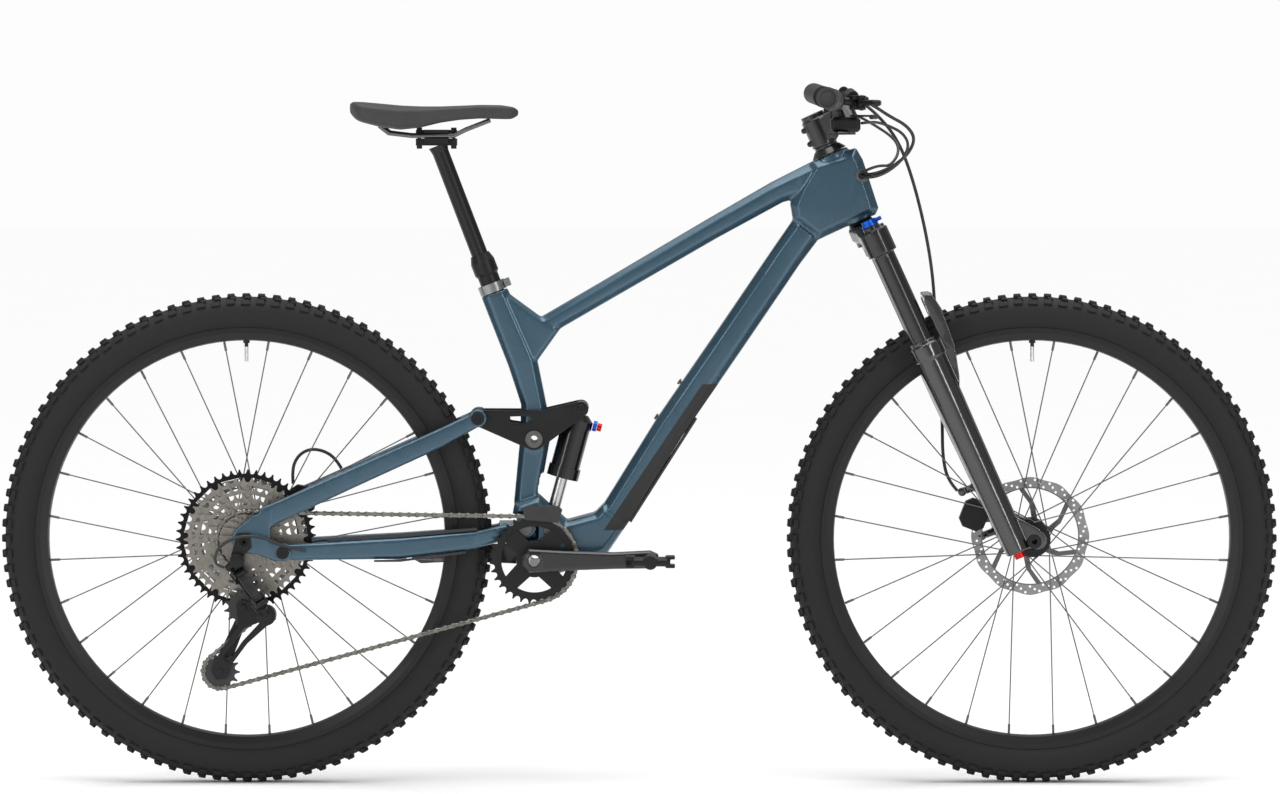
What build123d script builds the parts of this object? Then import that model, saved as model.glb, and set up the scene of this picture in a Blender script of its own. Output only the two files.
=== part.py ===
"""Full-suspension mountain bike, 29 inch wheels, built as separate pieces.

Millimetres. +X is forward, +Y is the rider's left, +Z is up. The origin is on the ground, midway between
the axles. The chain and gears are on the right, at -Y. Every piece is drawn at rest: steering straight,
suspension extended, saddle up, right crank arm forward, chain on the 21-tooth cog.
"""
from build123d import *
from math import asin, atan2, cos, hypot, pi, radians, sin, sqrt
import os

os.makedirs("parts", exist_ok=True)

# ---- overall sizes -------------------------------------------------------------------------------------------
WHEELBASE = 1190.0
TYRE_RADIUS = 371.0
TYRE_HALF_WIDTH = 29.5
BAR_WIDTH = 780.0
CRANK_LENGTH = 175.0

# ---- running fits and gaps -----------------------------------------------------------------------------------
RUN = 0.06          # radial clearance of a shaft that turns or slides in its bore
SEAT = 0.3          # gap between curved parts that sit on each other in one body
OPEN_PIVOT = 2.2    # radial room in the two pivots where the suspension loop is cut

# ---- pivots and centres, as (x, z) ---------------------------------------------------------------------------
FRONT_AXLE = (WHEELBASE / 2, TYRE_RADIUS)
REAR_AXLE = (-WHEELBASE / 2, TYRE_RADIUS)
CRANK = (-158.5, 342.2)
MAIN_PIVOT = (-172.0, 388.0)
DROPOUT_PIVOT = (-536.9, 354.2)
ROCKER_PIVOT = (-159.2, 523.0)
STAY_PIVOT = (-243.7, 554.8)
SHOCK_TOP = (-88.3, 568.1)
SHOCK_BOTTOM = (-138.0, 385.0)

# ---- steering axis -------------------------------------------------------------------------------------------
HEAD_ANGLE = 65.5
HEAD_TOP = (287.8, 952.8)
HEAD_LENGTH = 110.0


# ---- general helpers -----------------------------------------------------------------------------------------
def at(point, y):
    """The 3D point above an (x, z) point."""
    return Vector(point[0], y, point[1])


def rod(start, end, radius):
    line = Vector(end) - Vector(start)
    return Solid.make_cylinder(radius, line.length, Plane(origin=start, z_dir=line))


def cone(start, end, radius_start, radius_end):
    line = Vector(end) - Vector(start)
    return Solid.make_cone(radius_start, radius_end, line.length, Plane(origin=start, z_dir=line))


def tube(start, end, outer, inner):
    """A straight tube whose bore runs past both ends."""
    line = (Vector(end) - Vector(start)).normalized()
    return rod(start, end, outer) - rod(Vector(start) - line, Vector(end) + line, inner)


def ball(centre, radius):
    return Solid.make_sphere(radius, Plane(origin=centre))


def disc(centre, y0, y1, radius):
    return rod(at(centre, y0), at(centre, y1), radius)


def washer(centre, y0, y1, outer, inner):
    return disc(centre, y0, y1, outer) - disc(centre, min(y0, y1) - 1, max(y0, y1) + 1, inner)


def plate(points, y0, y1):
    """A flat plate cut to an (x, z) outline, from y0 to y1."""
    outline = make_face(Polyline(*[at(p, y0) for p in points], close=True))
    return extrude(outline, amount=abs(y1 - y0), dir=(0, 1 if y1 > y0 else -1, 0))


def block(x0, x1, y0, y1, z0, z1):
    return Pos((x0 + x1) / 2, (y0 + y1) / 2, (z0 + z1) / 2) * Box(abs(x1 - x0), abs(y1 - y0), abs(z1 - z0))


def turned(centre, profile):
    """Turns a closed (radius, y) outline about the y axis through an (x, z) centre."""
    outline = make_face(Polyline(*[at((centre[0], centre[1] + r), y) for r, y in profile], close=True))
    return revolve(outline, Axis(at(centre, 0), (0, 1, 0)), 360)


def socket_bolt(point, direction, head_radius, head_height, shank_radius, shank_length):
    """A round bolt head standing on a face at point, with a hexagon socket, and its shank behind the face."""
    way = Vector(direction).normalized()
    base = Vector(point)
    bolt = rod(base, base + way * head_height, head_radius)
    if shank_length:
        bolt += rod(base - way * shank_length, base, shank_radius)
    key = Plane(origin=base + way * head_height * 0.35, z_dir=way) * RegularPolygon(head_radius * 0.55, 6)
    return bolt - extrude(key, amount=head_height)


def around(centre, angle, radius, y=0.0):
    """The point at an angle, in radians from +X towards +Z, on a circle about an (x, z) centre."""
    return Vector(centre[0] + radius * cos(angle), y, centre[1] + radius * sin(angle))


def both_sides(shape):
    return [shape, mirror(shape, Plane.XZ)]


def write(node, *shapes):
    solids = []
    for shape in shapes:
        for piece in shape if isinstance(shape, (list, tuple)) else [shape]:
            solids += list(piece.solids())
    export_step(Compound(children=solids), f"parts/{node}.step")


# ---- frame: hollow faceted tubes -----------------------------------------------------------------------------
WALL = 3.0
TUBE_FACET = 9.0
HEAD_HALF_WIDTH = 31.0
BB_HALF_WIDTH = 46.0
BB_SHELL_RADIUS = 28.0
BB_BORE = 20.5
LOWER_HALF_WIDTH = 34.0
PIVOT_HALF_WIDTH = 21.0
POST_RADIUS = 15.8
POST_INSERTION = 136.0
POST_LEAN = 20.9
POST_TOP = (-219.5, 743.4)
STEERER_BORE = 22.0
BEARING_DEPTH = 12.0
BEARING_RADIUS = 25.0


def facet_section(top, bottom, width, facet, inset):
    """An eight-sided tube section between a top and a bottom (x, z) point, drawn in by inset."""
    high, low = at(top, 0), at(bottom, 0)
    up = (high - low).normalized()
    across = Vector(0, 1, 0)
    middle = (high + low) * 0.5
    half_height, half_width = (high - low).length / 2 - inset, width / 2 - inset
    cut = facet - inset * 0.4
    corners = [
        (half_width, cut - half_height), (half_width, half_height - cut),
        (half_width - cut, half_height), (cut - half_width, half_height),
        (-half_width, half_height - cut), (-half_width, cut - half_height),
        (cut - half_width, -half_height), (half_width - cut, -half_height),
    ]
    return make_face(Polyline(*[middle + across * a + up * b for a, b in corners], close=True))


def facet_tube(stations, inset=0.0):
    sections = [facet_section(top, bottom, width, facet, inset) for top, bottom, width, facet in stations]
    return loft(sections, ruled=True)


def faceted_block(points, half_width, facet, inset=0.0):
    """A flat-sided block with its side edges cut back at 45 degrees."""
    outline = make_face(Polyline(*[at(p, 0) for p in points], close=True))
    flat = half_width - facet
    if inset:
        outline = offset(outline, amount=-inset, kind=Kind.INTERSECTION)
        flat -= inset
    body = extrude(outline, amount=flat, dir=(0, 1, 0), both=True)
    if not inset:
        for side in (1, -1):
            face = Pos(0, side * flat, 0) * outline
            body += extrude(face, amount=facet, dir=(0, side, 0), taper=45)
    return body


TOP_TUBE = [
    ((-187.8, 684.0), (-172.9, 658.0), 34, 9),
    ((-59.6, 758.5), (-44.6, 732.4), 38, 9),
    ((100.0, 852.8), (115.9, 825.0), 42, 9),
    ((198.8, 910.0), (216.5, 880.0), 49, 10),
    ((262.0, 942.0), (285.0, 900.0), 56, 12),
]
DOWN_TUBE = [
    ((232.0, 853.0), (270.4, 823.6), 56, 12),
    ((205.1, 814.1), (243.4, 787.8), 56, 11),
    ((122.0, 691.6), (160.3, 665.3), 60, 11),
    ((26.4, 552.5), (64.7, 526.2), 62, 11),
    ((-53.6, 423.9), (-15.3, 397.6), 62, 11),
    ((-90.0, 372.0), (-50.0, 346.0), 62, 11),
]
SEAT_TUBE = [
    ((-239.0, 736.5), (-199.9, 750.3), 42, 10),
    ((-198.5, 633.0), (-155.0, 645.0), 43, 9),
    ((-179.1, 574.3), (-139.9, 570.1), 40, 9),
    ((-180.7, 523.2), (-133.9, 528.2), 40, 9),
    ((-190.0, 425.0), (-150.0, 440.0), 40, 9),
]
HEAD_BLOCK = [
    (262.0, 942.0), (327.3, 962.2), (337.5, 944.7), (361.3, 871.9), (357.0, 861.7), (306.1, 840.3),
    (270.4, 823.6), (232.0, 853.0), (228.1, 877.8), (240.0, 905.0),
]
SEAT_GUSSET = [
    (-203.0, 746.0), (-148.7, 706.3), (-119.6, 688.8), (-160.2, 632.0), (-186.0, 640.0), (-212.0, 700.0),
]
CRANK_BLOCK = [
    (-53.6, 423.9), (-67.5, 409.9), (-110.0, 398.5), (-152.0, 437.0), (-189.0, 424.0), (-194.0, 402.0),
    (-186.0, 372.0), (-186.0, 335.0), (-165.0, 315.0), (-135.0, 315.0), (-95.0, 327.0), (-50.0, 349.0),
    (-16.0, 398.0),
]
STEER_UP = Vector(-cos(radians(HEAD_ANGLE)), 0, sin(radians(HEAD_ANGLE)))
STEER_FORWARD = Vector(sin(radians(HEAD_ANGLE)), 0, cos(radians(HEAD_ANGLE)))
HEAD_BASE = at(HEAD_TOP, 0) - STEER_UP * HEAD_LENGTH
POST_UP = Vector(-sin(radians(POST_LEAN)), 0, cos(radians(POST_LEAN)))
POST_MOUTH = at(POST_TOP, 0)
BOTTLE_BOLTS = [(64.0, 606.0), (29.0, 553.0)]


def steer(forward, side, up):
    """A point in the fork's own frame: forward of the steering axis, to the left, and above the head tube's foot."""
    return HEAD_BASE + STEER_FORWARD * forward + Vector(0, side, 0) + STEER_UP * up


def front_triangle():
    main_tubes = [TOP_TUBE, DOWN_TUBE, SEAT_TUBE]
    shell = faceted_block(HEAD_BLOCK, HEAD_HALF_WIDTH, 11)
    shell += faceted_block(CRANK_BLOCK, LOWER_HALF_WIDTH, 9)
    shell += faceted_block(SEAT_GUSSET, 18, 5)
    for stations in main_tubes:
        shell += facet_tube(stations)
    shell += disc(CRANK, -BB_HALF_WIDTH, BB_HALF_WIDTH, BB_SHELL_RADIUS)
    shell += rod(steer(0, 0, 0), steer(0, 0, HEAD_LENGTH), 28.5)
    shell += disc(ROCKER_PIVOT, -PIVOT_HALF_WIDTH, PIVOT_HALF_WIDTH, 19)
    hollows = [facet_tube(TOP_TUBE, WALL), facet_tube(DOWN_TUBE[:5], WALL), facet_tube(SEAT_TUBE[2:4], WALL)]
    for hollow in hollows:
        shell -= hollow
    # Room for the chainstay's two arms and its bridge, and for the lower end of the shock.
    for side in (1, -1):
        shell -= block(-215, -153, side * PIVOT_HALF_WIDTH, side * 60, 370.5, 412)
        shell -= block(-215, -186, side * 0, side * 60, 360, 409)
    shell -= block(-162, -112, -14.5, 14.5, 371, 470)
    shell -= disc(CRANK, -60, 60, BB_BORE)
    shell -= disc(MAIN_PIVOT, -30, 30, 7.5 + SEAT)
    shell -= disc(ROCKER_PIVOT, -30, 30, 9 + SEAT)
    shell -= disc(SHOCK_BOTTOM, -40, 40, 4 + SEAT)
    shell -= rod(steer(0, 0, -5), steer(0, 0, HEAD_LENGTH + 5), STEERER_BORE)
    shell -= rod(steer(0, 0, -5), steer(0, 0, BEARING_DEPTH), BEARING_RADIUS + SEAT)
    shell -= rod(steer(0, 0, HEAD_LENGTH - BEARING_DEPTH), steer(0, 0, HEAD_LENGTH + 5), BEARING_RADIUS + SEAT)
    shell -= rod(POST_MOUTH + POST_UP * 10, POST_MOUTH - POST_UP * POST_INSERTION, POST_RADIUS + SEAT)
    along = (at((122.0, 691.6), 0) - at((26.4, 552.5), 0)).normalized()
    outward = Vector(-along.Z, 0, along.X)
    for bolt in BOTTLE_BOLTS:
        shell -= rod(at(bolt, 0) - outward * 12, at(bolt, 0) + outward * 8, 2.5 + SEAT)
    for port in CABLE_PORTS:
        shell -= rod(port, port - CABLE_PORT_WAY * 22, 6.0)
    return shell


CABLE_PORT_WAY = Vector(0.0, -1.0, 0.0)
CABLE_PORTS = [Vector(336.0, -HEAD_HALF_WIDTH, 921.0)]


def bearing_cups():
    """The headset's two bearings and the two bottom bracket cups."""
    pieces = []
    for up in (0, HEAD_LENGTH - BEARING_DEPTH + 0.5):
        pieces.append(tube(steer(0, 0, up), steer(0, 0, up + BEARING_DEPTH - 0.5), BEARING_RADIUS, 20.5))
    for side in (1, -1):
        y = side * BB_HALF_WIDTH
        cup = washer(CRANK, y, y + side * 2.5, 22.5, 12 + RUN)
        cup += washer(CRANK, y - side * 12, y, BB_BORE - SEAT, 12 + RUN)
        pieces.append(cup)
    return pieces


def seat_clamp():
    """The collar that pinches the frame's mouth on the post, with its bolt lug in front."""
    foot, top = POST_MOUTH + POST_UP * 1.0, POST_MOUTH + POST_UP * 15
    forward = Vector(POST_UP.Z, 0, -POST_UP.X)
    middle = (foot + top) * 0.5
    lug = Location(Plane(origin=middle + forward * 22, x_dir=forward, z_dir=POST_UP)) * Box(13, 16, 12)
    collar = rod(foot, top, 21) + lug
    collar -= rod(foot - POST_UP, top + POST_UP, POST_RADIUS + SEAT)
    slot = Location(Plane(origin=middle + forward * 24, x_dir=forward, z_dir=POST_UP)) * Box(18, 2, 20)
    collar -= slot
    bolt_line = middle + forward * 23.5
    collar -= rod(bolt_line - Vector(0, 10, 0), bolt_line + Vector(0, 10, 0), 2.5 + SEAT)
    bolt = socket_bolt(bolt_line - Vector(0, 8.05, 0), (0, -1, 0), 4.2, 3.5, 2.5, 15)
    return [collar, bolt]


GUARD_LOW, GUARD_HIGH = (-15.3, 397.6), (84.0, 554.0)
GUARD_HALF_WIDTH, GUARD_THICKNESS = 19.5, 3.5


def down_tube_guard():
    """A moulded strip stuck under the lower half of the down tube."""
    low, high = at(GUARD_LOW, 0), at(GUARD_HIGH, 0)
    along = (high - low).normalized()
    down = Vector(along.Z, 0, -along.X)
    across = Vector(0, 1, 0)
    foot = low + down * SEAT
    base = make_face(Polyline(
        foot + across * GUARD_HALF_WIDTH, foot - across * GUARD_HALF_WIDTH,
        foot - across * (GUARD_HALF_WIDTH - 3) + down * GUARD_THICKNESS,
        foot + across * (GUARD_HALF_WIDTH - 3) + down * GUARD_THICKNESS, close=True))
    return extrude(base, amount=(high - low).length, dir=along)


# ---- frame hardware ------------------------------------------------------------------------------------------
CHAIN_Y = -51.2
GUIDE_Z = (398.0, 423.0)


def frame_hardware():
    """Pivot axles, shock bolt, bottle bolts, port cover and chain guide bolts, all fixed to the frame."""
    pieces = [disc(MAIN_PIVOT, -39.5, 39.5, 7.5), disc(ROCKER_PIVOT, -34.5, 34.5, 9.0) - disc(ROCKER_PIVOT, -40, 40, 5.5)]
    pieces.append(disc(SHOCK_BOTTOM, -36.0, 36.0, 4.0))
    for side in (1, -1):
        pieces.append(socket_bolt(at(MAIN_PIVOT, side * 39.8), (0, side, 0), 10, 3, 0, 0))
        pieces.append(socket_bolt(at(SHOCK_BOTTOM, side * 36.3), (0, side, 0), 6, 3, 0, 0))
        cap = washer(ROCKER_PIVOT, side * 34.8, side * 37.5, 13, 5.5)
        pieces.append(cap)
    along = (at((122.0, 691.6), 0) - at((26.4, 552.5), 0)).normalized()
    outward = Vector(-along.Z, 0, along.X)
    for bolt in BOTTLE_BOLTS:
        pieces.append(socket_bolt(at(bolt, 0) + outward * 2.5, outward, 4.5, 3.2, 2.5, 10))
    for port in CABLE_PORTS:
        boss = rod(port + CABLE_PORT_WAY * 0.1, port + CABLE_PORT_WAY * 3.5, 10) - rod(
            port - CABLE_PORT_WAY * 3, port + CABLE_PORT_WAY * 5, 5.4)
        pieces.append(boss)
    return pieces


def chain_guide():
    """A small cage over the top of the chainring: two cheeks, a roof and the bracket to the frame."""
    x0, x1 = -176.0, -116.0
    low, high = GUIDE_Z
    outline = [(x0 + 4, low + 4), (x1 - 8, low), (x1, high - 6), (x1 - 6, high), (x0 + 6, high), (x0, high - 6)]
    cage = plate(outline, CHAIN_Y - 7.5, CHAIN_Y - 5.0) + plate(outline, CHAIN_Y + 4.6, CHAIN_Y + 7.0)
    cage += block(x0 + 6, x1 - 6, CHAIN_Y - 7.5, CHAIN_Y + 7.0, high - 3, high)
    cage += block(-150, -128, CHAIN_Y + 6, -LOWER_HALF_WIDTH - SEAT, high - 8, high - 3)
    cage += block(-150, -128, -LOWER_HALF_WIDTH - SEAT - 4, -LOWER_HALF_WIDTH - SEAT, 398, high - 3)
    return cage


# ---- dropper post and saddle ---------------------------------------------------------------------------------
STANCHION_RADIUS = 12.5
COLLAR_UP = (28.0, 62.0)
POST_HEAD_UP = 244.0
DROP_TRAVEL = 150.0


def along_post(up):
    return POST_MOUTH + POST_UP * up


def dropper_lower_tube():
    """The outer tube that the frame holds, with the wiper collar on top."""
    body = rod(along_post(-POST_INSERTION + 1), along_post(COLLAR_UP[0]), POST_RADIUS)
    body += cone(along_post(COLLAR_UP[0]), along_post(COLLAR_UP[0] + 4), POST_RADIUS, 18.5)
    body += rod(along_post(COLLAR_UP[0] + 4), along_post(COLLAR_UP[1] - 12), 18.5)
    body += cone(along_post(COLLAR_UP[1] - 12), along_post(COLLAR_UP[1]), 18.5, 14.5)
    body -= rod(along_post(-POST_INSERTION + 4), along_post(COLLAR_UP[1] + 5), STANCHION_RADIUS + RUN)
    return body


def dropper_post():
    """The sliding inner tube and the two-bolt head that clamps the saddle rails."""
    top = along_post(POST_HEAD_UP - 14)
    inner = rod(along_post(-POST_INSERTION + DROP_TRAVEL + 8), top, STANCHION_RADIUS)
    inner -= rod(along_post(-POST_INSERTION + DROP_TRAVEL + 7), top - POST_UP * 12, STANCHION_RADIUS - 2)
    head = at(RAIL_CLAMP, 0)
    cradle = block(head.X - 31, head.X + 31, -14, 14, head.Z - 15, head.Z - 4.6)
    neck = cone(top - POST_UP * 3, top + POST_UP * 8, STANCHION_RADIUS, 15)
    bolt_holes = [rod((head.X + way * 26, 0, head.Z - 30), (head.X + way * 26, 0, head.Z + 20), 2.5 + SEAT) for way in (1, -1)]
    lower = inner + neck + cradle
    for hole in bolt_holes:
        lower -= hole
    pieces = [lower]
    for side in (1, -1):
        cradle_pad = block(head.X - 18, head.X + 18, side * 14.3, side * 26, head.Z - 12, head.Z - 3.8)
        pieces.append(cradle_pad)
    yoke = block(head.X - 31, head.X + 31, -9, 9, head.Z + 3.8, head.Z + 8.5) + block(head.X - 18, head.X + 18, -26, 26, head.Z + 3.8, head.Z + 8.5)
    for hole in bolt_holes:
        yoke -= hole
    pieces.append(yoke)
    for way in (1, -1):
        x = head.X + way * 26
        pieces.append(rod((x, 0, head.Z - 20), (x, 0, head.Z + 9), 2.5) + rod((x, 0, head.Z - 20), (x, 0, head.Z - 15.2), 4.2) + rod((x, 0, head.Z + 8.7), (x, 0, head.Z + 12), 4.2))
    return pieces


RAIL_CLAMP = (-306.6, 981.0)
RAIL_RADIUS = 3.5
RAIL_Y = 22.0
SADDLE_SIDE = [
    (-439.9, 1012.1), (-436.5, 1029.5), (-400.0, 1029.0), (-332.3, 1025.8), (-240.0, 1027.0), (-192.0, 1024.5),
    (-179.5, 1019.0), (-183.8, 1005.0), (-240.0, 1008.0), (-300.0, 1003.0), (-356.1, 992.0), (-410.0, 1003.0),
]
SADDLE_PLAN = [
    (-441.0, 42), (-432.0, 62), (-405.0, 72), (-370.0, 71), (-335.0, 56), (-300.0, 38), (-260.0, 25), (-205.0, 20),
    (-182.0, 13), (-178.0, 5),
]


def saddle():
    """The padded shell, cut to its side outline and its plan."""
    body = plate(SADDLE_SIDE, -80, 80)
    plan_points = [Vector(x, y, 0) for x, y in SADDLE_PLAN] + [Vector(x, -y, 0) for x, y in reversed(SADDLE_PLAN)]
    plan = extrude(make_face(Polyline(*plan_points, close=True)), amount=1100)
    return body & plan


def saddle_rails():
    """Two bent rails, clamped by the post and let into the shell's nose and tail."""
    pieces = []
    for side in (1, -1):
        points = [
            (-226.0, side * 10.0, 1004.0), (-262.0, side * 17.0, 990.0), (-280.0, side * RAIL_Y, RAIL_CLAMP[1]),
            (-345.0, side * RAIL_Y, RAIL_CLAMP[1]), (-378.0, side * 27.0, 985.0), (-392.0, side * 30.0, 996.0),
        ]
        rail = None
        for start, end in zip(points, points[1:]):
            run = rod(start, end, RAIL_RADIUS)
            rail = run if rail is None else rail + run
        for corner in points[1:-1]:
            rail += ball(corner, RAIL_RADIUS)
        pieces.append(rail)
    return pieces


# ---- chainstay and seatstay ----------------------------------------------------------------------------------
YOKE_Y = (PIVOT_HALF_WIDTH + SEAT, 35.0)
STAY_LUG_Y = (58.0, 73.4)
DROPOUT_Y = (74.0, 82.0)
THRU_RADIUS = 6.0
DROPOUT_BOLT_RADIUS = 6.0


def stay_section(x, y, z, width, height, facet):
    half_w, half_h, cut = width / 2, height / 2, facet
    corners = [
        (half_w, cut - half_h), (half_w, half_h - cut), (half_w - cut, half_h), (cut - half_w, half_h),
        (-half_w, half_h - cut), (-half_w, cut - half_h), (cut - half_w, -half_h), (half_w - cut, -half_h),
    ]
    return make_face(Polyline(*[Vector(x, y + a, z + b) for a, b in corners], close=True))


CHAINSTAY_STATIONS = [
    (-186.0, 28.6, 385.0, 13.0, 22.0, 3.0), (-250.0, 43.5, 371.0, 13.0, 27.0, 4.0),
    (-361.0, 53.0, 359.5, 15.0, 33.0, 5.0), (-490.0, 66.0, 355.5, 15.0, 26.0, 4.0),
    (-528.0, 66.0, 354.5, 14.0, 24.0, 3.0),
]
SEATSTAY_STATIONS = [
    (-572.0, 78.0, 401.0, 8.0, 40.0, 2.0), (-545.0, 73.5, 415.0, 13.0, 34.0, 3.0),
    (-430.0, 56.0, 467.0, 14.0, 32.0, 4.0), (-300.0, 43.5, 525.5, 13.0, 31.0, 4.0),
    (-246.0, 41.0, 552.5, 11.0, 25.0, 3.0),
]
STAY_END_Y = (35.5, 46.5)


def chainstay():
    """Both stays, their yoke in front of the wheel, and the lug at each rear pivot."""
    stay = loft([stay_section(*s) for s in CHAINSTAY_STATIONS], ruled=True)
    stay += disc(MAIN_PIVOT, YOKE_Y[0], YOKE_Y[1], 16)
    stay += disc(DROPOUT_PIVOT, STAY_LUG_Y[0], STAY_LUG_Y[1], 14)
    stay = stay + mirror(stay, Plane.XZ) + block(-213, -191, -30, 30, 379, 396)
    stay -= disc(MAIN_PIVOT, -60, 60, 7.5 + RUN)
    stay -= disc(DROPOUT_PIVOT, -90, 90, DROPOUT_BOLT_RADIUS + RUN)
    return stay


def chainstay_guard():
    """Rubber strips along the drive-side stay, above and below."""
    top_points = [(-245.0, 384.8), (-361.0, 376.3), (-470.0, 370.5), (-470.0, 374.5), (-361.0, 381.0), (-245.0, 389.0)]
    low_points = [(-262.0, 355.0), (-361.0, 342.7), (-400.0, 342.5), (-400.0, 340.0), (-361.0, 339.8), (-262.0, 351.5)]
    pieces = []
    for points, low in ((top_points, 2 * SEAT), (low_points, -2 * SEAT)):
        shifted = [(x, z + low) for x, z in points]
        start, end = (points[0][0], -43.0), (points[2][0], -63.0)
        strip = plate(shifted, -75, -35)
        lane = make_face(Polyline(
            Vector(start[0] + 1, start[1] - 5, 0), Vector(start[0] + 1, start[1] + 3, 0),
            Vector(end[0] - 1, end[1] + 4, 0), Vector(end[0] - 1, end[1] - 4, 0), close=True))
        pieces.append(strip & extrude(lane, amount=600))
    return pieces


def seatstay():
    """Left and right stays, each with its dropout plate, rear pivot lug and rocker eye."""
    stay = loft([stay_section(*s) for s in SEATSTAY_STATIONS], ruled=True)
    stay += disc(STAY_PIVOT, STAY_END_Y[0], STAY_END_Y[1], 13.5)
    dropout = [
        (-555.0, 421.0), (-586.0, 408.0), (-611.0, 386.0), (-615.0, 372.0), (-610.0, 360.0), (-598.0, 354.0),
        (-575.0, 352.0), (-550.0, 342.0), (-530.0, 342.0), (-523.0, 354.0), (-530.0, 366.0), (-556.0, 372.0),
    ]
    stay += plate(dropout, DROPOUT_Y[0], DROPOUT_Y[1])
    stay -= disc(REAR_AXLE, 60, 95, THRU_RADIUS + SEAT)
    stay -= disc(DROPOUT_PIVOT, 70, 95, DROPOUT_BOLT_RADIUS + SEAT)
    stay -= disc(STAY_PIVOT, 30, 60, 5 + SEAT)
    left, right = both_sides(stay)
    return [left - caliper_envelope(CALIPER_REAR, REAR_AXLE, REAR_HUB["rotor_y"], 15.0, 8.3, SEAT), right]


HANGER_BOLT = (-605.0, 343.4)


def stay_hardware():
    """Pivot bolts that turn with the seatstay, the thru axle and the derailleur hanger."""
    pieces = []
    for side in (1, -1):
        pieces.append(disc(DROPOUT_PIVOT, side * 57.0, side * 83.0, DROPOUT_BOLT_RADIUS))
        pieces.append(socket_bolt(at(DROPOUT_PIVOT, side * 83.3), (0, side, 0), 9.5, 2.5, 0, 0))
        pieces.append(disc(STAY_PIVOT, side * 15.0, side * 47.0, 5.0))
        pieces.append(socket_bolt(at(STAY_PIVOT, side * 47.3), (0, side, 0), 10.0, 2.5, 0, 0))
    axle = disc(REAR_AXLE, -83, 84, THRU_RADIUS) - disc(REAR_AXLE, -90, -70, 3)
    pieces.append(axle)
    pieces.append(disc(REAR_AXLE, 84, 88, 9.5) - disc(REAR_AXLE, 85.5, 90, 4))
    hanger = plate([(-605, 384), (-586, 384), (-584, 362), (-594, 352), (-599, 339), (-612, 337), (-614, 352)], -87.0, -82.3)
    hanger -= disc(REAR_AXLE, -95, -75, THRU_RADIUS + SEAT)
    hanger -= disc(HANGER_BOLT, -95, -75, 4.5 + SEAT)
    pieces.append(hanger)
    return pieces


# ---- rocker link ---------------------------------------------------------------------------------------------
ROCKER_Y = (24.5, 33.5)


def rocker_link():
    """Two cheeks joined by a cross tube at the seatstay pivot."""
    arm = None
    for start, end, r0, r1 in ((STAY_PIVOT, ROCKER_PIVOT, 12.0, 17.0), (ROCKER_PIVOT, SHOCK_TOP, 17.0, 11.5)):
        line = atan2(end[1] - start[1], end[0] - start[0])
        spread = asin((r1 - r0) / hypot(end[0] - start[0], end[1] - start[1]))
        up, down = line + pi / 2 + spread, line - pi / 2 - spread
        corners = [around(start, up, r0), around(end, up, r1), around(end, down, r1), around(start, down, r0)]
        web = plate([(c.X, c.Z) for c in corners], ROCKER_Y[0], ROCKER_Y[1])
        web += disc(start, ROCKER_Y[0], ROCKER_Y[1], r0) + disc(end, ROCKER_Y[0], ROCKER_Y[1], r1)
        arm = web if arm is None else arm + web
    bridge = [(-236.0, 566.5), (-150.0, 566.0), (-92.0, 579.3), (-84.0, 577.0), (-140.0, 532.0), (-180.0, 530.0)]
    arm += plate(bridge, ROCKER_Y[0], ROCKER_Y[1])
    window = [(-196.0, 557.0), (-168.0, 557.5), (-160.0, 551.0), (-176.0, 546.0), (-196.0, 549.0)]
    arm -= plate(window, ROCKER_Y[0] - 1, ROCKER_Y[1] + 1)
    link = arm + mirror(arm, Plane.XZ) + disc(STAY_PIVOT, -ROCKER_Y[0], ROCKER_Y[0], 10.5)
    link -= disc(ROCKER_PIVOT, -50, 50, 9 + RUN)
    link -= disc(STAY_PIVOT, -50, 50, 5 + OPEN_PIVOT)
    link -= disc(SHOCK_TOP, -50, 50, 4 + SEAT)
    return link


def rocker_bolt():
    """The bolt through the rocker's front ends, which carries the shock's upper eye."""
    pieces = [disc(SHOCK_TOP, -34, 34, 4)]
    for side in (1, -1):
        pieces.append(socket_bolt(at(SHOCK_TOP, side * 34.3), (0, side, 0), 6.5, 3, 0, 0))
    return pieces


# ---- shock ---------------------------------------------------------------------------------------------------
SHOCK_LINE = (at(SHOCK_TOP, 0) - at(SHOCK_BOTTOM, 0)).normalized()
SHOCK_LENGTH = (at(SHOCK_TOP, 0) - at(SHOCK_BOTTOM, 0)).length
SHOCK_SHAFT_RADIUS = 9.0
CAN_START = 84.0
CAN_RADIUS = 22.0
SHOCK_EYE_RADIUS = 11.0


def along_shock(up, side=0.0):
    return at(SHOCK_BOTTOM, side) + SHOCK_LINE * up


def shock_shaft():
    """Lower eye, shaft and the piston inside the can."""
    eye = disc(SHOCK_BOTTOM, -12, 12, SHOCK_EYE_RADIUS)
    shaft = rod(along_shock(8), along_shock(CAN_START + 38), SHOCK_SHAFT_RADIUS)
    piston = rod(along_shock(CAN_START + 30), along_shock(CAN_START + 38), CAN_RADIUS - 3 - RUN)
    body = eye + shaft + piston + rod(along_shock(10), along_shock(24), 12.5)
    return body - disc(SHOCK_BOTTOM, -20, 20, 4 + RUN)


SHOCK_TRAVEL = 45.0


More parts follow.
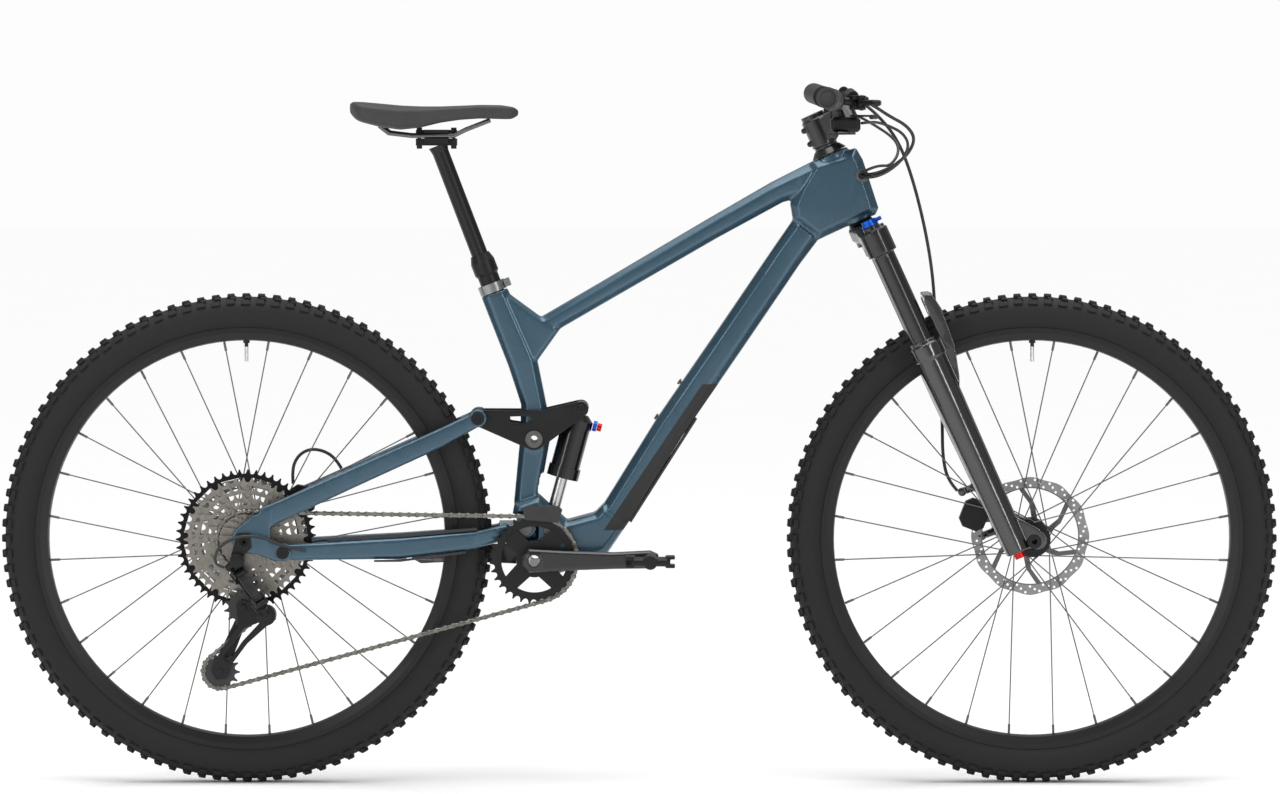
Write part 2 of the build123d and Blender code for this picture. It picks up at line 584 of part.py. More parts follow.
def shock_body():
    """The air can with its head, upper eye and valve."""
    top = SHOCK_LENGTH - 18
    can = rod(along_shock(CAN_START), along_shock(top), CAN_RADIUS)
    can += rod(along_shock(CAN_START - 3), along_shock(CAN_START + 14), CAN_RADIUS + 2.5)
    can += rod(along_shock(top - 12), along_shock(top), CAN_RADIUS + 1.5)
    can += cone(along_shock(top), along_shock(top + 9), CAN_RADIUS + 1.5, 14)
    can -= rod(along_shock(CAN_START + 3), along_shock(top - 4), CAN_RADIUS - 3)
    can -= rod(along_shock(CAN_START - 5), along_shock(CAN_START + 5), SHOCK_SHAFT_RADIUS + RUN)
    eye = disc(SHOCK_TOP, -12, 12, SHOCK_EYE_RADIUS)
    can += eye
    return can - disc(SHOCK_TOP, -20, 20, 4 + OPEN_PIVOT)


def shock_lever():
    """The compression lever that turns on the can's head."""
    centre = along_shock(SHOCK_LENGTH - 21, 0) + SHOCK_SIDE * (CAN_RADIUS + 2.3)
    knob = rod(centre, centre + SHOCK_SIDE * 6, 8)
    tip = centre + SHOCK_SIDE * 3 + Vector(0, -16, 0)
    return knob + rod(centre + SHOCK_SIDE * 3, tip, 2.6) + ball(tip, 2.6)


SHOCK_SIDE = Vector(SHOCK_LINE.Z, 0, -SHOCK_LINE.X)


def shock_rebound_knob():
    """The rebound dial, outboard of the lever on the same spindle."""
    centre = along_shock(SHOCK_LENGTH - 21, 0) + SHOCK_SIDE * (CAN_RADIUS + 8.8)
    return rod(centre, centre + SHOCK_SIDE * 7, 6)


# ---- wheels --------------------------------------------------------------------------------------------------
RIM_OUTER, RIM_INNER, RIM_HALF_WIDTH = 320.0, 300.0, 18.0
SPOKES = 28
SPOKE_RADIUS = 0.95
CROSS_ANGLE = radians(68.0)
FLANGE_RADIUS = 27.0
ROTOR_RADIUS, ROTOR_THICKNESS = 90.0, 1.8
FRONT_HUB = {"flanges": (-30.0, 24.0), "half": 55.0, "rotor_y": 39.5, "axle": 7.5, "drive_end": -55.0}
REAR_HUB = {"flanges": (-21.5, 36.0), "half": 74.0, "rotor_y": 55.0, "axle": THRU_RADIUS, "drive_end": -26.0}


def tyre(centre):
    """A hollow casing of even wall with its two beads, and a tread band on the crown."""
    def arc_profile(grow):
        crown, side, mouth = TYRE_RADIUS - grow, TYRE_HALF_WIDTH - grow, 15.0 - grow
        right = [(RIM_OUTER + SEAT, mouth), (332.0, 26.3 - grow), (345.0, side), (362.0 - grow, 19.5), (crown, 0.0)]
        return right
    def edges(points):
        place = [at((centre[0], centre[1] + r), y) for r, y in points]
        mirrored = [at((centre[0], centre[1] + r), -y) for r, y in points]
        return [ThreePointArc(*place[:3]), ThreePointArc(*place[2:]), ThreePointArc(*mirrored[:3]), ThreePointArc(*mirrored[2:])]
    outer, inner = arc_profile(0.0), arc_profile(3.0)
    rings = []
    for profile in (outer, inner):
        low = [at((centre[0], centre[1] + profile[0][0]), side * profile[0][1]) for side in (1, -1)]
        face = make_face(edges(profile) + [Line(*low)])
        rings.append(revolve(face, Axis(at(centre, 0), (0, 1, 0)), 360))
    body = rings[0] - rings[1]
    bead = [(312.0, 11.5), (RIM_OUTER + SEAT + 2, 11.5), (RIM_OUTER + SEAT + 2, 15.0), (312.0, 15.0)]
    for side in (1, -1):
        body += turned(centre, [(r, side * y) for r, y in bead])
    return body


def rim(centre):
    """A hollow rim with two hooked walls, and the valve through it at the top."""
    outline = [
        (RIM_OUTER, RIM_HALF_WIDTH), (RIM_OUTER, 15.3), (311.5, 15.3), (309.0, 9.0), (309.0, -9.0), (311.5, -15.3),
        (RIM_OUTER, -15.3), (RIM_OUTER, -RIM_HALF_WIDTH), (312.0, -RIM_HALF_WIDTH), (301.5, -13.0),
        (RIM_INNER, -8.0), (RIM_INNER, 8.0), (301.5, 13.0), (312.0, RIM_HALF_WIDTH),
    ]
    hollow = [(306.5, 9.0), (302.5, 8.0), (302.5, -8.0), (306.5, -9.0)]
    ring = turned(centre, outline) - turned(centre, hollow)
    ring -= rod(around(centre, pi / 2, RIM_INNER - 5), around(centre, pi / 2, 312), 3.2)
    valve = rod(around(centre, pi / 2, 268), around(centre, pi / 2, 311), 2.9)
    valve += rod(around(centre, pi / 2, 296), around(centre, pi / 2, RIM_INNER - SEAT), 5)
    return [ring, valve]


def spokes(centre, hub):
    """Crossed spokes from both flanges, heads alternately inside and outside, with their nipples."""
    pieces = []
    per_side = SPOKES // 2
    for side, flange_y in enumerate(hub["flanges"]):
        outward = 1 if flange_y > 0 else -1
        for i in range(per_side):
            rim_angle = pi / 2 + (2 * i + 0.5 + side) * 2 * pi / SPOKES
            lead = 1 if i % 2 else -1
            hub_angle = rim_angle + lead * CROSS_ANGLE
            y = flange_y + outward * (SPOKE_RADIUS + 2.6 if i % 2 else -SPOKE_RADIUS - 1.7)
            foot = around(centre, hub_angle, FLANGE_RADIUS - 1.2, y)
            tip = around(centre, rim_angle, RIM_INNER - SEAT, outward * 3.0)
            wire = rod(foot, tip, SPOKE_RADIUS)
            way = (tip - foot).normalized()
            pieces.append(wire + rod(tip - way * 14, tip - way * 0.2, 1.9))
    return pieces


def hub_shell(centre, hub):
    """The hub shell with two drilled flanges, turned ends and a bore for the axle."""
    low, high = hub["flanges"]
    end_low, end_high = hub["drive_end"] + (0.5 if hub is FRONT_HUB else 0), hub["half"] - 0.5
    profile = [
        (hub["axle"] + RUN, end_low), (12.5, end_low), (13.5, low - 4), (16.0, low - 1.5), (FLANGE_RADIUS, low - 1.5),
        (FLANGE_RADIUS, low + 1.5), (16.0, low + 1.5), (13.5, low + 6), (13.0, (low + high) / 2), (13.5, high - 6),
        (16.0, high - 1.5), (FLANGE_RADIUS, high - 1.5), (FLANGE_RADIUS, high + 1.5), (19.0, high + 1.5),
        (19.0, hub["rotor_y"] + 6), (14.0, hub["rotor_y"] + 7), (12.0, end_high), (hub["axle"] + RUN, end_high),
    ]
    return turned(centre, profile)


def rotor(centre, hub):
    """A brake disc: a wavy slotted ring on six swept arms and a splined carrier, with its lockring."""
    y0, y1 = hub["rotor_y"] - ROTOR_THICKNESS / 2, hub["rotor_y"] + ROTOR_THICKNESS / 2
    waves, steps = 12, 144
    outline = [around(centre, 2 * pi * k / steps, ROTOR_RADIUS - 1.2 + 1.2 * cos(waves * 2 * pi * k / steps)) for k in range(steps)]
    disc_plate = plate([(p.X, p.Z) for p in outline], y0, y1)
    disc_plate -= disc(centre, y0 - 1, y1 + 1, 73)
    arms = 6
    for k in range(arms):
        start, sweep = 2 * pi * k / arms, radians(38)
        corners = [
            around(centre, start, 24), around(centre, start + sweep * 0.6, 50), around(centre, start + sweep, 75),
            around(centre, start + sweep + 0.11, 75), around(centre, start + sweep * 0.6 + 0.16, 50),
            around(centre, start + 0.42, 24),
        ]
        disc_plate += plate([(p.X, p.Z) for p in corners], y0, y1)
    disc_plate += washer(centre, y0, y1, 29, 19 + SEAT)
    for k in range(waves * 2):
        for radius, spread in ((77.0, 0.0), (81.5, 0.09), (86.0, 0.18) if k % 2 else (85.0, 0.17)):
            angle = 2 * pi * k / (waves * 2) + spread
            disc_plate -= rod(around(centre, angle, radius, y0 - 1), around(centre, angle, radius, y1 + 1), 1.9)
    lockring = washer(centre, y1 + SEAT, y1 + 3.5, 24, 19 + SEAT)
    return [disc_plate, lockring]


# ---- fork ----------------------------------------------------------------------------------------------------
LEG_Y = 67.0
LEG_FORWARD = 10.0
STANCHION = 17.0
LOWERS_TOP, LEG_BOTTOM = -208.0, -552.0
FORK_TRAVEL = 130.0
AXLE_UP, AXLE_FORWARD = -546.8, 43.6
CAP_TOP = -12.0
STEERER_RADIUS = 14.3


def fork_uppers():
    """Steerer, crown and both stanchions, pressed together."""
    steerer = rod(steer(0, 0, -6), steer(0, 0, HEAD_LENGTH + 62), STEERER_RADIUS)
    steerer += cone(steer(0, 0, -6), steer(0, 0, 20), 19.5, STEERER_RADIUS)
    steerer -= rod(steer(0, 0, -50), steer(0, 0, HEAD_LENGTH + 70), STEERER_RADIUS - 2.3)
    stations = []
    for side, forward, width, top in ((-LEG_Y, LEG_FORWARD, 42, -22.0), (-34.0, 5.0, 38, -7.0), (0.0, 0.0, 46, -1.0),
                                      (34.0, 5.0, 38, -7.0), (LEG_Y, LEG_FORWARD, 42, -22.0)):
        half, low = width / 2, top - (34.0 if abs(side) > 40 else 30.0)
        corners = [(half, low + 6), (half, top - 8), (half - 8, top), (8 - half, top), (-half, top - 8), (-half, low + 6), (6 - half, low), (half - 6, low)]
        stations.append(make_face(Polyline(*[steer(forward + a, side, b) for a, b in corners], close=True)))
    crown = loft(stations, ruled=True)
    for side in (1, -1):
        crown += rod(steer(LEG_FORWARD, side * LEG_Y, -58), steer(LEG_FORWARD, side * LEG_Y, -20), 22.5)
        crown += rod(steer(LEG_FORWARD, side * LEG_Y, -22), steer(LEG_FORWARD, side * LEG_Y, CAP_TOP), 13)
    crown -= rod(steer(0, 0, -50), steer(0, 0, 5), 19.5)
    crown += rod(steer(0, 0, -38), steer(0, 0, -6), 19.6) - rod(steer(0, 0, -50), steer(0, 0, 0), STEERER_RADIUS - 2.3)
    body = steerer + crown
    for side in (1, -1):
        leg = rod(steer(LEG_FORWARD, side * LEG_Y, -404), steer(LEG_FORWARD, side * LEG_Y, -22), STANCHION)
        leg -= rod(steer(LEG_FORWARD, side * LEG_Y, -410), steer(LEG_FORWARD, side * LEG_Y, -26), STANCHION - 2.5)
        body += leg
    return body


def damper_knob():
    """The compression dial on top of the right leg."""
    base = steer(LEG_FORWARD, -LEG_Y, CAP_TOP + SEAT)
    knob = rod(base, base + STEER_UP * 9, 11) + rod(base, base + STEER_UP * 3, 13)
    lever = rod(base + STEER_UP * 5 + STEER_FORWARD * 10, base + STEER_UP * 5 + STEER_FORWARD * 20, 3)
    return knob + lever


def fork_lowers():
    """The cast lower legs with their arch, axle ends and brake posts, the wipers and the two inner rods."""
    body = None
    for side in (1, -1):
        y = side * LEG_Y
        leg = cone(steer(LEG_FORWARD, y, -300), steer(LEG_FORWARD, y, LEG_BOTTOM), 22.5, 18.5)
        leg += rod(steer(LEG_FORWARD, y, -300), steer(LEG_FORWARD, y, LOWERS_TOP - 12), 22.5)
        leg += rod(steer(LEG_FORWARD, y, LOWERS_TOP - 22), steer(LEG_FORWARD, y, LOWERS_TOP), 24.5)
        web = [(LEG_FORWARD - 10, -500), (LEG_FORWARD + 16, -500), (AXLE_FORWARD + 8, AXLE_UP + 16),
               (AXLE_FORWARD + 13, AXLE_UP), (AXLE_FORWARD + 5, AXLE_UP - 13), (LEG_FORWARD + 12, LEG_BOTTOM), (LEG_FORWARD - 10, LEG_BOTTOM)]
        inner, outer = side * 55.5, side * 76.0
        foot = make_face(Polyline(*[steer(f, inner, u) for f, u in web], close=True))
        leg += extrude(foot, amount=abs(outer - inner), dir=(0, side, 0))
        leg += rod(steer(AXLE_FORWARD, inner, AXLE_UP), steer(AXLE_FORWARD, outer, AXLE_UP), 14)
        upright = [(24, -305), (38, -275), (52, -226), (56, -170), (52, -144), (40, -140), (36, -150), (36, -206), (24, -226)]
        rise = make_face(Polyline(*[steer(f, y - side * 12, u) for f, u in upright], close=True))
        leg += extrude(rise, amount=18, dir=(0, side, 0))
        body = leg if body is None else body + leg
    arch_y = [(-LEG_Y + 9, -190, -146), (-36, -172, -140), (0, -166, -138), (36, -172, -140), (LEG_Y - 9, -190, -146)]
    faces = []
    for y, low, high in arch_y:
        faces.append(make_face(Polyline(steer(37, y, low), steer(53, y, low + 4), steer(53, y, high - 5), steer(38, y, high), close=True)))
    body += loft(faces, ruled=True)
    for up in (-520.0, -446.0):
        post = steer(-28, 0, up + 2)
        body += rod(steer(-4, LEG_Y - 2, up), steer(-28, 62, up + 2), 6)
        body += disc((post.X, post.Z), FRONT_HUB["rotor_y"] + 14.3, 66, 6.5)
    for side in (1, -1):
        y = side * LEG_Y
        body -= rod(steer(LEG_FORWARD, y, -404 - FORK_TRAVEL - 4), steer(LEG_FORWARD, y, LOWERS_TOP + 5), STANCHION + RUN)
    body -= rod(at(FRONT_AXLE, -90), at(FRONT_AXLE, 90), 7.5 + SEAT)
    pieces = [body]
    for side in (1, -1):
        y = side * LEG_Y
        pieces.append(tube(steer(LEG_FORWARD, y, LOWERS_TOP + SEAT), steer(LEG_FORWARD, y, LOWERS_TOP + 7), 21.5, STANCHION + RUN))
        pieces.append(rod(steer(LEG_FORWARD, y, -404 - FORK_TRAVEL - 4 + 0.1), steer(LEG_FORWARD, y, -330), 5))
    return pieces


def front_axle():
    """The 15 mm thru axle and its head."""
    axle = disc(FRONT_AXLE, -77, 79, 7.5) - disc(FRONT_AXLE, -80, 80, 4)
    return axle + washer(FRONT_AXLE, -80, -76.3, 10.5, 4)


def caliper_envelope(centre, disc_centre, disc_y, inboard, outboard, margin=0.0):
    """The outside of a brake caliper over the disc's edge, grown by a margin on every side."""
    x, z = centre
    tilt = atan2(z - disc_centre[1], x - disc_centre[0])
    body = Box(40 + 2 * margin, inboard + outboard + 2 * margin, 46 + 2 * margin)
    body = chamfer(body.edges().filter_by(Axis.Y), 9)
    if margin == 0.0:
        body = chamfer(body.faces().sort_by(Axis.Y)[-1].edges(), 4)
    return Location((x, disc_y + (outboard - inboard) / 2, z), (0, -tilt * 180 / pi, 0)) * body


def caliper(centre, disc_centre, disc_y, inboard, outboard):
    """A two-half brake caliper with its slot for the disc, and its pads."""
    x, z = centre
    tilt = atan2(z - disc_centre[1], x - disc_centre[0])
    body = caliper_envelope(centre, disc_centre, disc_y, inboard, outboard)
    body -= disc(disc_centre, disc_y - 3.4, disc_y + 3.4, ROTOR_RADIUS + 3.5)
    pieces = [body]
    for side in (1, -1):
        pad = washer(disc_centre, disc_y + side * 1.2, disc_y + side * 3.1, ROTOR_RADIUS, 75)
        sector = Location((disc_centre[0] + 82 * cos(tilt), disc_y, disc_centre[1] + 82 * sin(tilt)), (0, -tilt * 180 / pi, 0)) * Box(20, 8, 24)
        pieces.append(pad & sector)
    return pieces


CALIPER_FRONT = (510.0, 404.0)
CALIPER_REAR = (-517.0, 424.0)


def front_caliper():
    return caliper(CALIPER_FRONT, FRONT_AXLE, FRONT_HUB["rotor_y"], 11.5, 14.0)


def rear_caliper():
    return caliper(CALIPER_REAR, REAR_AXLE, REAR_HUB["rotor_y"], 15.0, 8.3)


def rebound_knob():
    """The rebound dial under the right leg."""
    base = steer(LEG_FORWARD, -LEG_Y, LEG_BOTTOM - SEAT)
    return rod(base, base - STEER_UP * 9, 8.5)


# ---- cockpit -------------------------------------------------------------------------------------------------
BAR_CENTRE = Vector(306.0, 0, 1012.0)
BAR_BEND = Vector(299.0, 95.0, 1032.0)
BAR_END = Vector(273.4, BAR_WIDTH / 2, 1041.3)
BAR_RADIUS, CLAMP_RADIUS = 11.1, 15.9
GRIP_LENGTH, GRIP_RADIUS = 130.0, 16.2
STEM_BASE = HEAD_LENGTH + 16.0
STEM_HEIGHT = 42.0


def along_bar(y, side=1):
    """The bar's centre line outboard of its bend."""
    share = (y - BAR_BEND.Y) / (BAR_END.Y - BAR_BEND.Y)
    point = BAR_BEND + (BAR_END - BAR_BEND) * share
    return Vector(point.X, side * point.Y, point.Z)


def handlebar():
    bar = rod(BAR_CENTRE - Vector(0, 36, 0), BAR_CENTRE + Vector(0, 36, 0), CLAMP_RADIUS)
    for side in (1, -1):
        shoulder = BAR_CENTRE + Vector(0, side * 36, 0)
        bend = along_bar(BAR_BEND.Y, side)
        bar += ball(shoulder, CLAMP_RADIUS) + cone(shoulder, bend, CLAMP_RADIUS, BAR_RADIUS)
        bar += ball(bend, BAR_RADIUS) + rod(bend, along_bar(BAR_END.Y, side), BAR_RADIUS)
        bar -= rod(along_bar(BAR_END.Y - 60, side), along_bar(BAR_END.Y + 5, side), BAR_RADIUS - 2)
    return bar


def grips():
    pieces = []
    for side in (1, -1):
        start, end = along_bar(BAR_END.Y - GRIP_LENGTH - 2, side), along_bar(BAR_END.Y - 2, side)
        pieces.append(tube(start, end, GRIP_RADIUS, BAR_RADIUS + SEAT))
        collar = along_bar(BAR_END.Y - GRIP_LENGTH - 10, side)
        pieces.append(tube(collar, along_bar(BAR_END.Y - GRIP_LENGTH - 2.3, side), GRIP_RADIUS + 0.5, BAR_RADIUS + SEAT))
    return pieces


def stem():
    """Stem body, face plate, its four bolts, steerer bolts, spacers and top cap."""
    low, high = STEM_BASE, STEM_BASE + STEM_HEIGHT
    middle = steer(0, 0, (low + high) / 2)
    body = rod(steer(0, 0, low), steer(0, 0, high), 20)
    forward = (BAR_CENTRE - middle).normalized()
    arm = loft([
        make_face(Polyline(*[middle + Vector(0, a, 0) + STEER_UP * b for a, b in ((18, -16), (18, 16), (-18, 16), (-18, -16))], close=True)),
        make_face(Polyline(*[BAR_CENTRE - forward * 2 + Vector(0, a, 0) + STEER_UP * b for a, b in ((26, -18), (26, 17), (-26, 17), (-26, -18))], close=True)),
    ], ruled=True)
    body += arm
    split = BAR_CENTRE + STEER_FORWARD * 1.0
    face_plate = loft([
        make_face(Polyline(*[split + STEER_FORWARD * f + Vector(0, a, 0) + STEER_UP * b for a, b in ((26, -24), (26, 24), (-26, 24), (-26, -24))], close=True))
        for f in (0.4, 8.0)] + [
        make_face(Polyline(*[split + STEER_FORWARD * 20 + Vector(0, a, 0) + STEER_UP * b for a, b in ((24, -12), (24, 12), (-24, 12), (-24, -12))], close=True))], ruled=True)
    bar_hole = rod(BAR_CENTRE - Vector(0, 34, 0), BAR_CENTRE + Vector(0, 34, 0), CLAMP_RADIUS + SEAT)
    body -= bar_hole
    body -= rod(steer(0, 0, low - 5), steer(0, 0, high + 5), STEERER_RADIUS + SEAT)
    body -= Location(Plane(origin=middle - STEER_FORWARD * 18, x_dir=STEER_FORWARD, z_dir=STEER_UP)) * Box(14, 1.6, 60)
    face_plate -= bar_hole
    pieces = [body, face_plate]
    for y in (-19.5, 19.5):
        for up in (-20.5, 20.5):
            head = split + STEER_FORWARD * 8.2 + Vector(0, y, 0) + STEER_UP * up
            pieces[1] -= rod(head - STEER_FORWARD * 0.2, head + STEER_FORWARD * 20, 4.1)
            pieces.append(socket_bolt(head, STEER_FORWARD, 3.8, 4, 0, 0))
    for up in (low + 10, high - 10):
        foot = steer(-21, -9.5, up)
        bolt_end = foot + Vector(0, 19, 0)
        pieces[0] -= rod(foot - Vector(0, 4, 0), bolt_end + Vector(0, 1, 0), 3.0 + SEAT)
        pieces[0] -= rod(foot - Vector(0, 20, 0), foot + Vector(0, 0.2, 0), 4.5 + SEAT)
        pieces.append(rod(foot, bolt_end, 3.0) + rod(foot - Vector(0, 2.5, 0), foot, 4.5))
    cover = cone(steer(0, 0, HEAD_LENGTH + 1.0), steer(0, 0, HEAD_LENGTH + 11), 28, 20) - rod(
        steer(0, 0, HEAD_LENGTH), steer(0, 0, HEAD_LENGTH + 12), STEERER_RADIUS + SEAT)
    pieces.append(cover)
    pieces.append(tube(steer(0, 0, HEAD_LENGTH + 11.2), steer(0, 0, low - 0.2), 18, STEERER_RADIUS + SEAT))
    cap = rod(steer(0, 0, high + 4.3), steer(0, 0, high + 8), 18) + rod(steer(0, 0, high - 8), steer(0, 0, high + 5), STEERER_RADIUS - 2.3 - SEAT)
    pieces.append(tube(steer(0, 0, high + 0.2), steer(0, 0, high + 4.1), 18, STEERER_RADIUS + SEAT))
    pieces.append(cap)
    return pieces


LEVER_Y = 226.0
LEVER_REACH = 42.0
BODY_FORWARD = 30.0


def lever_place(side, outboard, forward, up):
    """A point near one brake lever: outboard of its pivot, forward of and above the bar."""
    base = along_bar(LEVER_Y, side)
    return base + Vector(forward, side * outboard, up)


def control_bodies():
    """Brake master cylinders with their bar clamps, the shifter's case and the dropper remote's base."""
    pieces = []
    for side in (1, -1):
        cylinder = rod(lever_place(side, -78, BODY_FORWARD - 4, 2), lever_place(side, -15, BODY_FORWARD + 3, -5), 8.5)
        reservoir = rod(lever_place(side, -62, BODY_FORWARD - 4, 10), lever_place(side, -20, BODY_FORWARD, 6), 8.0)
        knuckle = cylinder + reservoir + ball(lever_place(side, -15, BODY_FORWARD + 3, -5), 8.5)
        for up in (-14.0, 2.0):
            ear = lever_place(side, 2, LEVER_REACH - 1, up)
            knuckle += rod(ear, ear + Vector(0, 0, 5.4), 6.5)
            knuckle += rod(ear + Vector(-12, side * -10, 0), ear + Vector(-12, side * -10, 5.4), 5.5)
            knuckle += block(ear.X - 14, ear.X, min(ear.Y, ear.Y - side * 12), max(ear.Y, ear.Y - side * 12), ear.Z, ear.Z + 5.4)
        knuckle += rod(lever_place(side, -84, BODY_FORWARD - 5, 2.5), lever_place(side, -78, BODY_FORWARD - 4, 2), 5)
        knuckle += rod(lever_place(side, -15, 8, 0), lever_place(side, -15, BODY_FORWARD + 2, -3), 6)
        clamp = tube(along_bar(LEVER_Y - 22, side), along_bar(LEVER_Y - 8, side), 15.5, BAR_RADIUS + SEAT)
        body = knuckle + clamp
        body -= rod(along_bar(LEVER_Y - 40, side), along_bar(LEVER_Y + 10, side), BAR_RADIUS + SEAT)
        body -= rod(lever_place(side, 2, LEVER_REACH - 1, -20), lever_place(side, 2, LEVER_REACH - 1, 20), 2.5 + RUN)
        pieces.append(body)
        pieces.append(rod(lever_place(side, 2, LEVER_REACH - 1, -15), lever_place(side, 2, LEVER_REACH - 1, 8), 2.5))
    shifter = chamfer(Box(44, 40, 22).edges(), 4)
    band_low, band_high = along_bar(183, -1), along_bar(194, -1)
    case = Location(SHIFTER_CENTRE) * shifter + rod(SHIFTER_CENTRE, (band_low + band_high) * 0.5, 5)
    case += rod(band_low, band_high, 15.0)
    pieces.append(case - rod(along_bar(150, -1), along_bar(230, -1), BAR_RADIUS + SEAT))
    remote = chamfer(Box(26, 22, 14).edges(), 3)
    base = Location(REMOTE_CENTRE) * remote + tube(along_bar(168, 1), along_bar(180, 1), 14.5, BAR_RADIUS + SEAT)
    pieces.append(base - rod(along_bar(150, 1), along_bar(200, 1), BAR_RADIUS + SEAT))
    return pieces


SHIFTER_CENTRE = Vector(306.0, -190.0, 1000.0)
REMOTE_CENTRE = Vector(296.0, 174.0, 1015.0)
PADDLE_PIVOT = Vector(312.0, -196.0, 989.0)
RELEASE_PIVOT = Vector(322.0, -176.0, 1011.0)


def brake_lever(side):
    """A flat blade with softened edges that turns on the pivot pin, out in front of the grip."""
    hub_low, hub_high = lever_place(side, 2, LEVER_REACH - 1, -8.3), lever_place(side, 2, LEVER_REACH - 1, 1.7)
    knees = [(4, LEVER_REACH), (24, 62), (60, 64), (88, 58), (99, 61)]
    front = [lever_place(side, out - 2, forward + 4.6, -7.8) for out, forward in knees]
    back = [lever_place(side, out + 2, forward - 4.6, -7.8) for out, forward in reversed(knees)]
    blade = extrude(make_face(Polyline(*front, *back, close=True)), amount=9.0, dir=(0, 0, 1))
    for end in (0, -1):
        blade = chamfer(blade.faces().sort_by(Axis.Z)[end].edges(), 2.2)
    blade += rod(hub_low, hub_high, 6.0)
    return blade - rod(hub_low - Vector(0, 0, 5), hub_high + Vector(0, 0, 5), 2.5 + RUN)


def thumb_lever(pivot, reach, drop, thickness):
    """A flat thumb paddle that turns on a short pin under its case."""
    root = Vector(pivot)
    arm = rod(root - Vector(0, 0, thickness), root, 9)
    tip = root + reach
    side = Vector(-reach.Y, reach.X, 0).normalized()
    corners = [root + side * 7, tip + side * 9, tip - side * 9, root - side * 7]
    outline = make_face(Polyline(*[Vector(c.X, c.Y, root.Z - thickness) for c in corners], close=True))
    arm += extrude(outline, amount=thickness, dir=(0, 0, 1))
    pad = rod(tip + side * 8 - Vector(0, 0, thickness), tip - side * 8 - Vector(0, 0, thickness), drop)
    return arm + pad


def shift_lever():
    return thumb_lever(PADDLE_PIVOT - Vector(0, 0, SEAT), Vector(-26, -26, 0), 4.5, 3.5)


def release_lever():
    return thumb_lever(RELEASE_PIVOT + Vector(0, 0, SEAT + 3), Vector(26, -16, 0), 3.5, 3.0)


def dropper_lever():
    return thumb_lever(REMOTE_CENTRE - Vector(0, 0, 7 + SEAT), Vector(-16, 36, 0), 4.5, 3.5)


# ---- chain path ----------------------------------------------------------------------------------------------
PITCH = 12.7
ROLLER_RADIUS = 3.85
CHAINRING_TEETH = 32
COG_TEETH = (10, 12, 14, 16, 18, 21, 24, 28, 33, 39, 45, 51)
CHAIN_COG = 5
PULLEY_TEETH = 13
COG_SPACING, COG_THICKNESS = 3.55, 1.5
TOOTH_CLEARANCE = 0.35
GUIDE_PULLEY = (-598.0, 270.0)
TENSION_PULLEY_X = -633.0
TENSION_PULLEY_Z = (162.0, 196.0)


def pitch_radius(teeth):
    return PITCH / 2 / sin(pi / teeth)


def chain_path(tension_z):
    """The closed chain line: each wrap and each run between sprockets, in travel order."""
    stops = [
        (CRANK, pitch_radius(CHAINRING_TEETH), 1), (REAR_AXLE, pitch_radius(COG_TEETH[CHAIN_COG]), 1),
        (GUIDE_PULLEY, pitch_radius(PULLEY_TEETH), -1), ((TENSION_PULLEY_X, tension_z), pitch_radius(PULLEY_TEETH), 1),
    ]
    runs = []
    for k, (centre, radius, turn) in enumerate(stops):
        after, radius_after, turn_after = stops[(k + 1) % len(stops)]
        dx, dz = after[0] - centre[0], after[1] - centre[1]
        heading = atan2(dz, dx) - asin((turn_after * radius_after - turn * radius) / hypot(dx, dz))
        normal = (-sin(heading), cos(heading))
        leave = (centre[0] - turn * radius * normal[0], centre[1] - turn * radius * normal[1])
        meet = (after[0] - turn_after * radius_after * normal[0], after[1] - turn_after * radius_after * normal[1])
        runs.append((leave, meet))
    pieces = []
    for k, (leave, meet) in enumerate(runs):
        pieces.append(("run", leave, meet, hypot(meet[0] - leave[0], meet[1] - leave[1])))
        centre, radius, turn = stops[(k + 1) % len(stops)]
        start = atan2(meet[1] - centre[1], meet[0] - centre[0])
        following = runs[(k + 1) % len(runs)][0]
        end = atan2(following[1] - centre[1], following[0] - centre[0])
        sweep = (end - start) * turn % (2 * pi)
        pieces.append(("wrap", centre, (radius, start, turn), sweep * radius))
    return pieces


def path_point(pieces, travel):
    for kind, first, second, length in pieces:
        if travel <= length:
            if kind == "run":
                share = travel / length
                return (first[0] + (second[0] - first[0]) * share, first[1] + (second[1] - first[1]) * share)
            radius, start, turn = second
            angle = start + turn * travel / radius
            return (first[0] + radius * cos(angle), first[1] + radius * sin(angle))
        travel -= length
    return path_point(pieces, travel)


def step_rollers(pieces, count):
    """Walks the path one chord of a pitch at a time, and gives the rollers and the travel after count steps."""
    travel, rollers = 0.0, [path_point(pieces, 0.0)]
    for _ in range(count):
        low, high = travel + PITCH * 0.99, travel + PITCH * 1.1
        for _ in range(40):
            middle = (low + high) / 2
            place = path_point(pieces, middle)
            if hypot(place[0] - rollers[-1][0], place[1] - rollers[-1][1]) < PITCH:
                low = middle
            else:
                high = middle
        travel = (low + high) / 2
        rollers.append(path_point(pieces, travel))
    return rollers, travel


def settle_chain():
    """Sets the tension pulley's height so that the chain closes on a whole, even number of links."""
    low, high = TENSION_PULLEY_Z
    loose = chain_path((low + high) / 2)
    total = sum(piece[3] for piece in loose)
    links = 2 * round(total / PITCH / 2)
    for _ in range(40):
        middle = (low + high) / 2
        pieces = chain_path(middle)
        rollers, travel = step_rollers(pieces, links)
        if travel > sum(piece[3] for piece in pieces):
            high = middle
        else:
            low = middle
    return pieces, rollers[:-1], middle


CHAIN_PATH, ROLLERS, TENSION_Z = settle_chain()
TENSION_PULLEY = (TENSION_PULLEY_X, TENSION_Z)


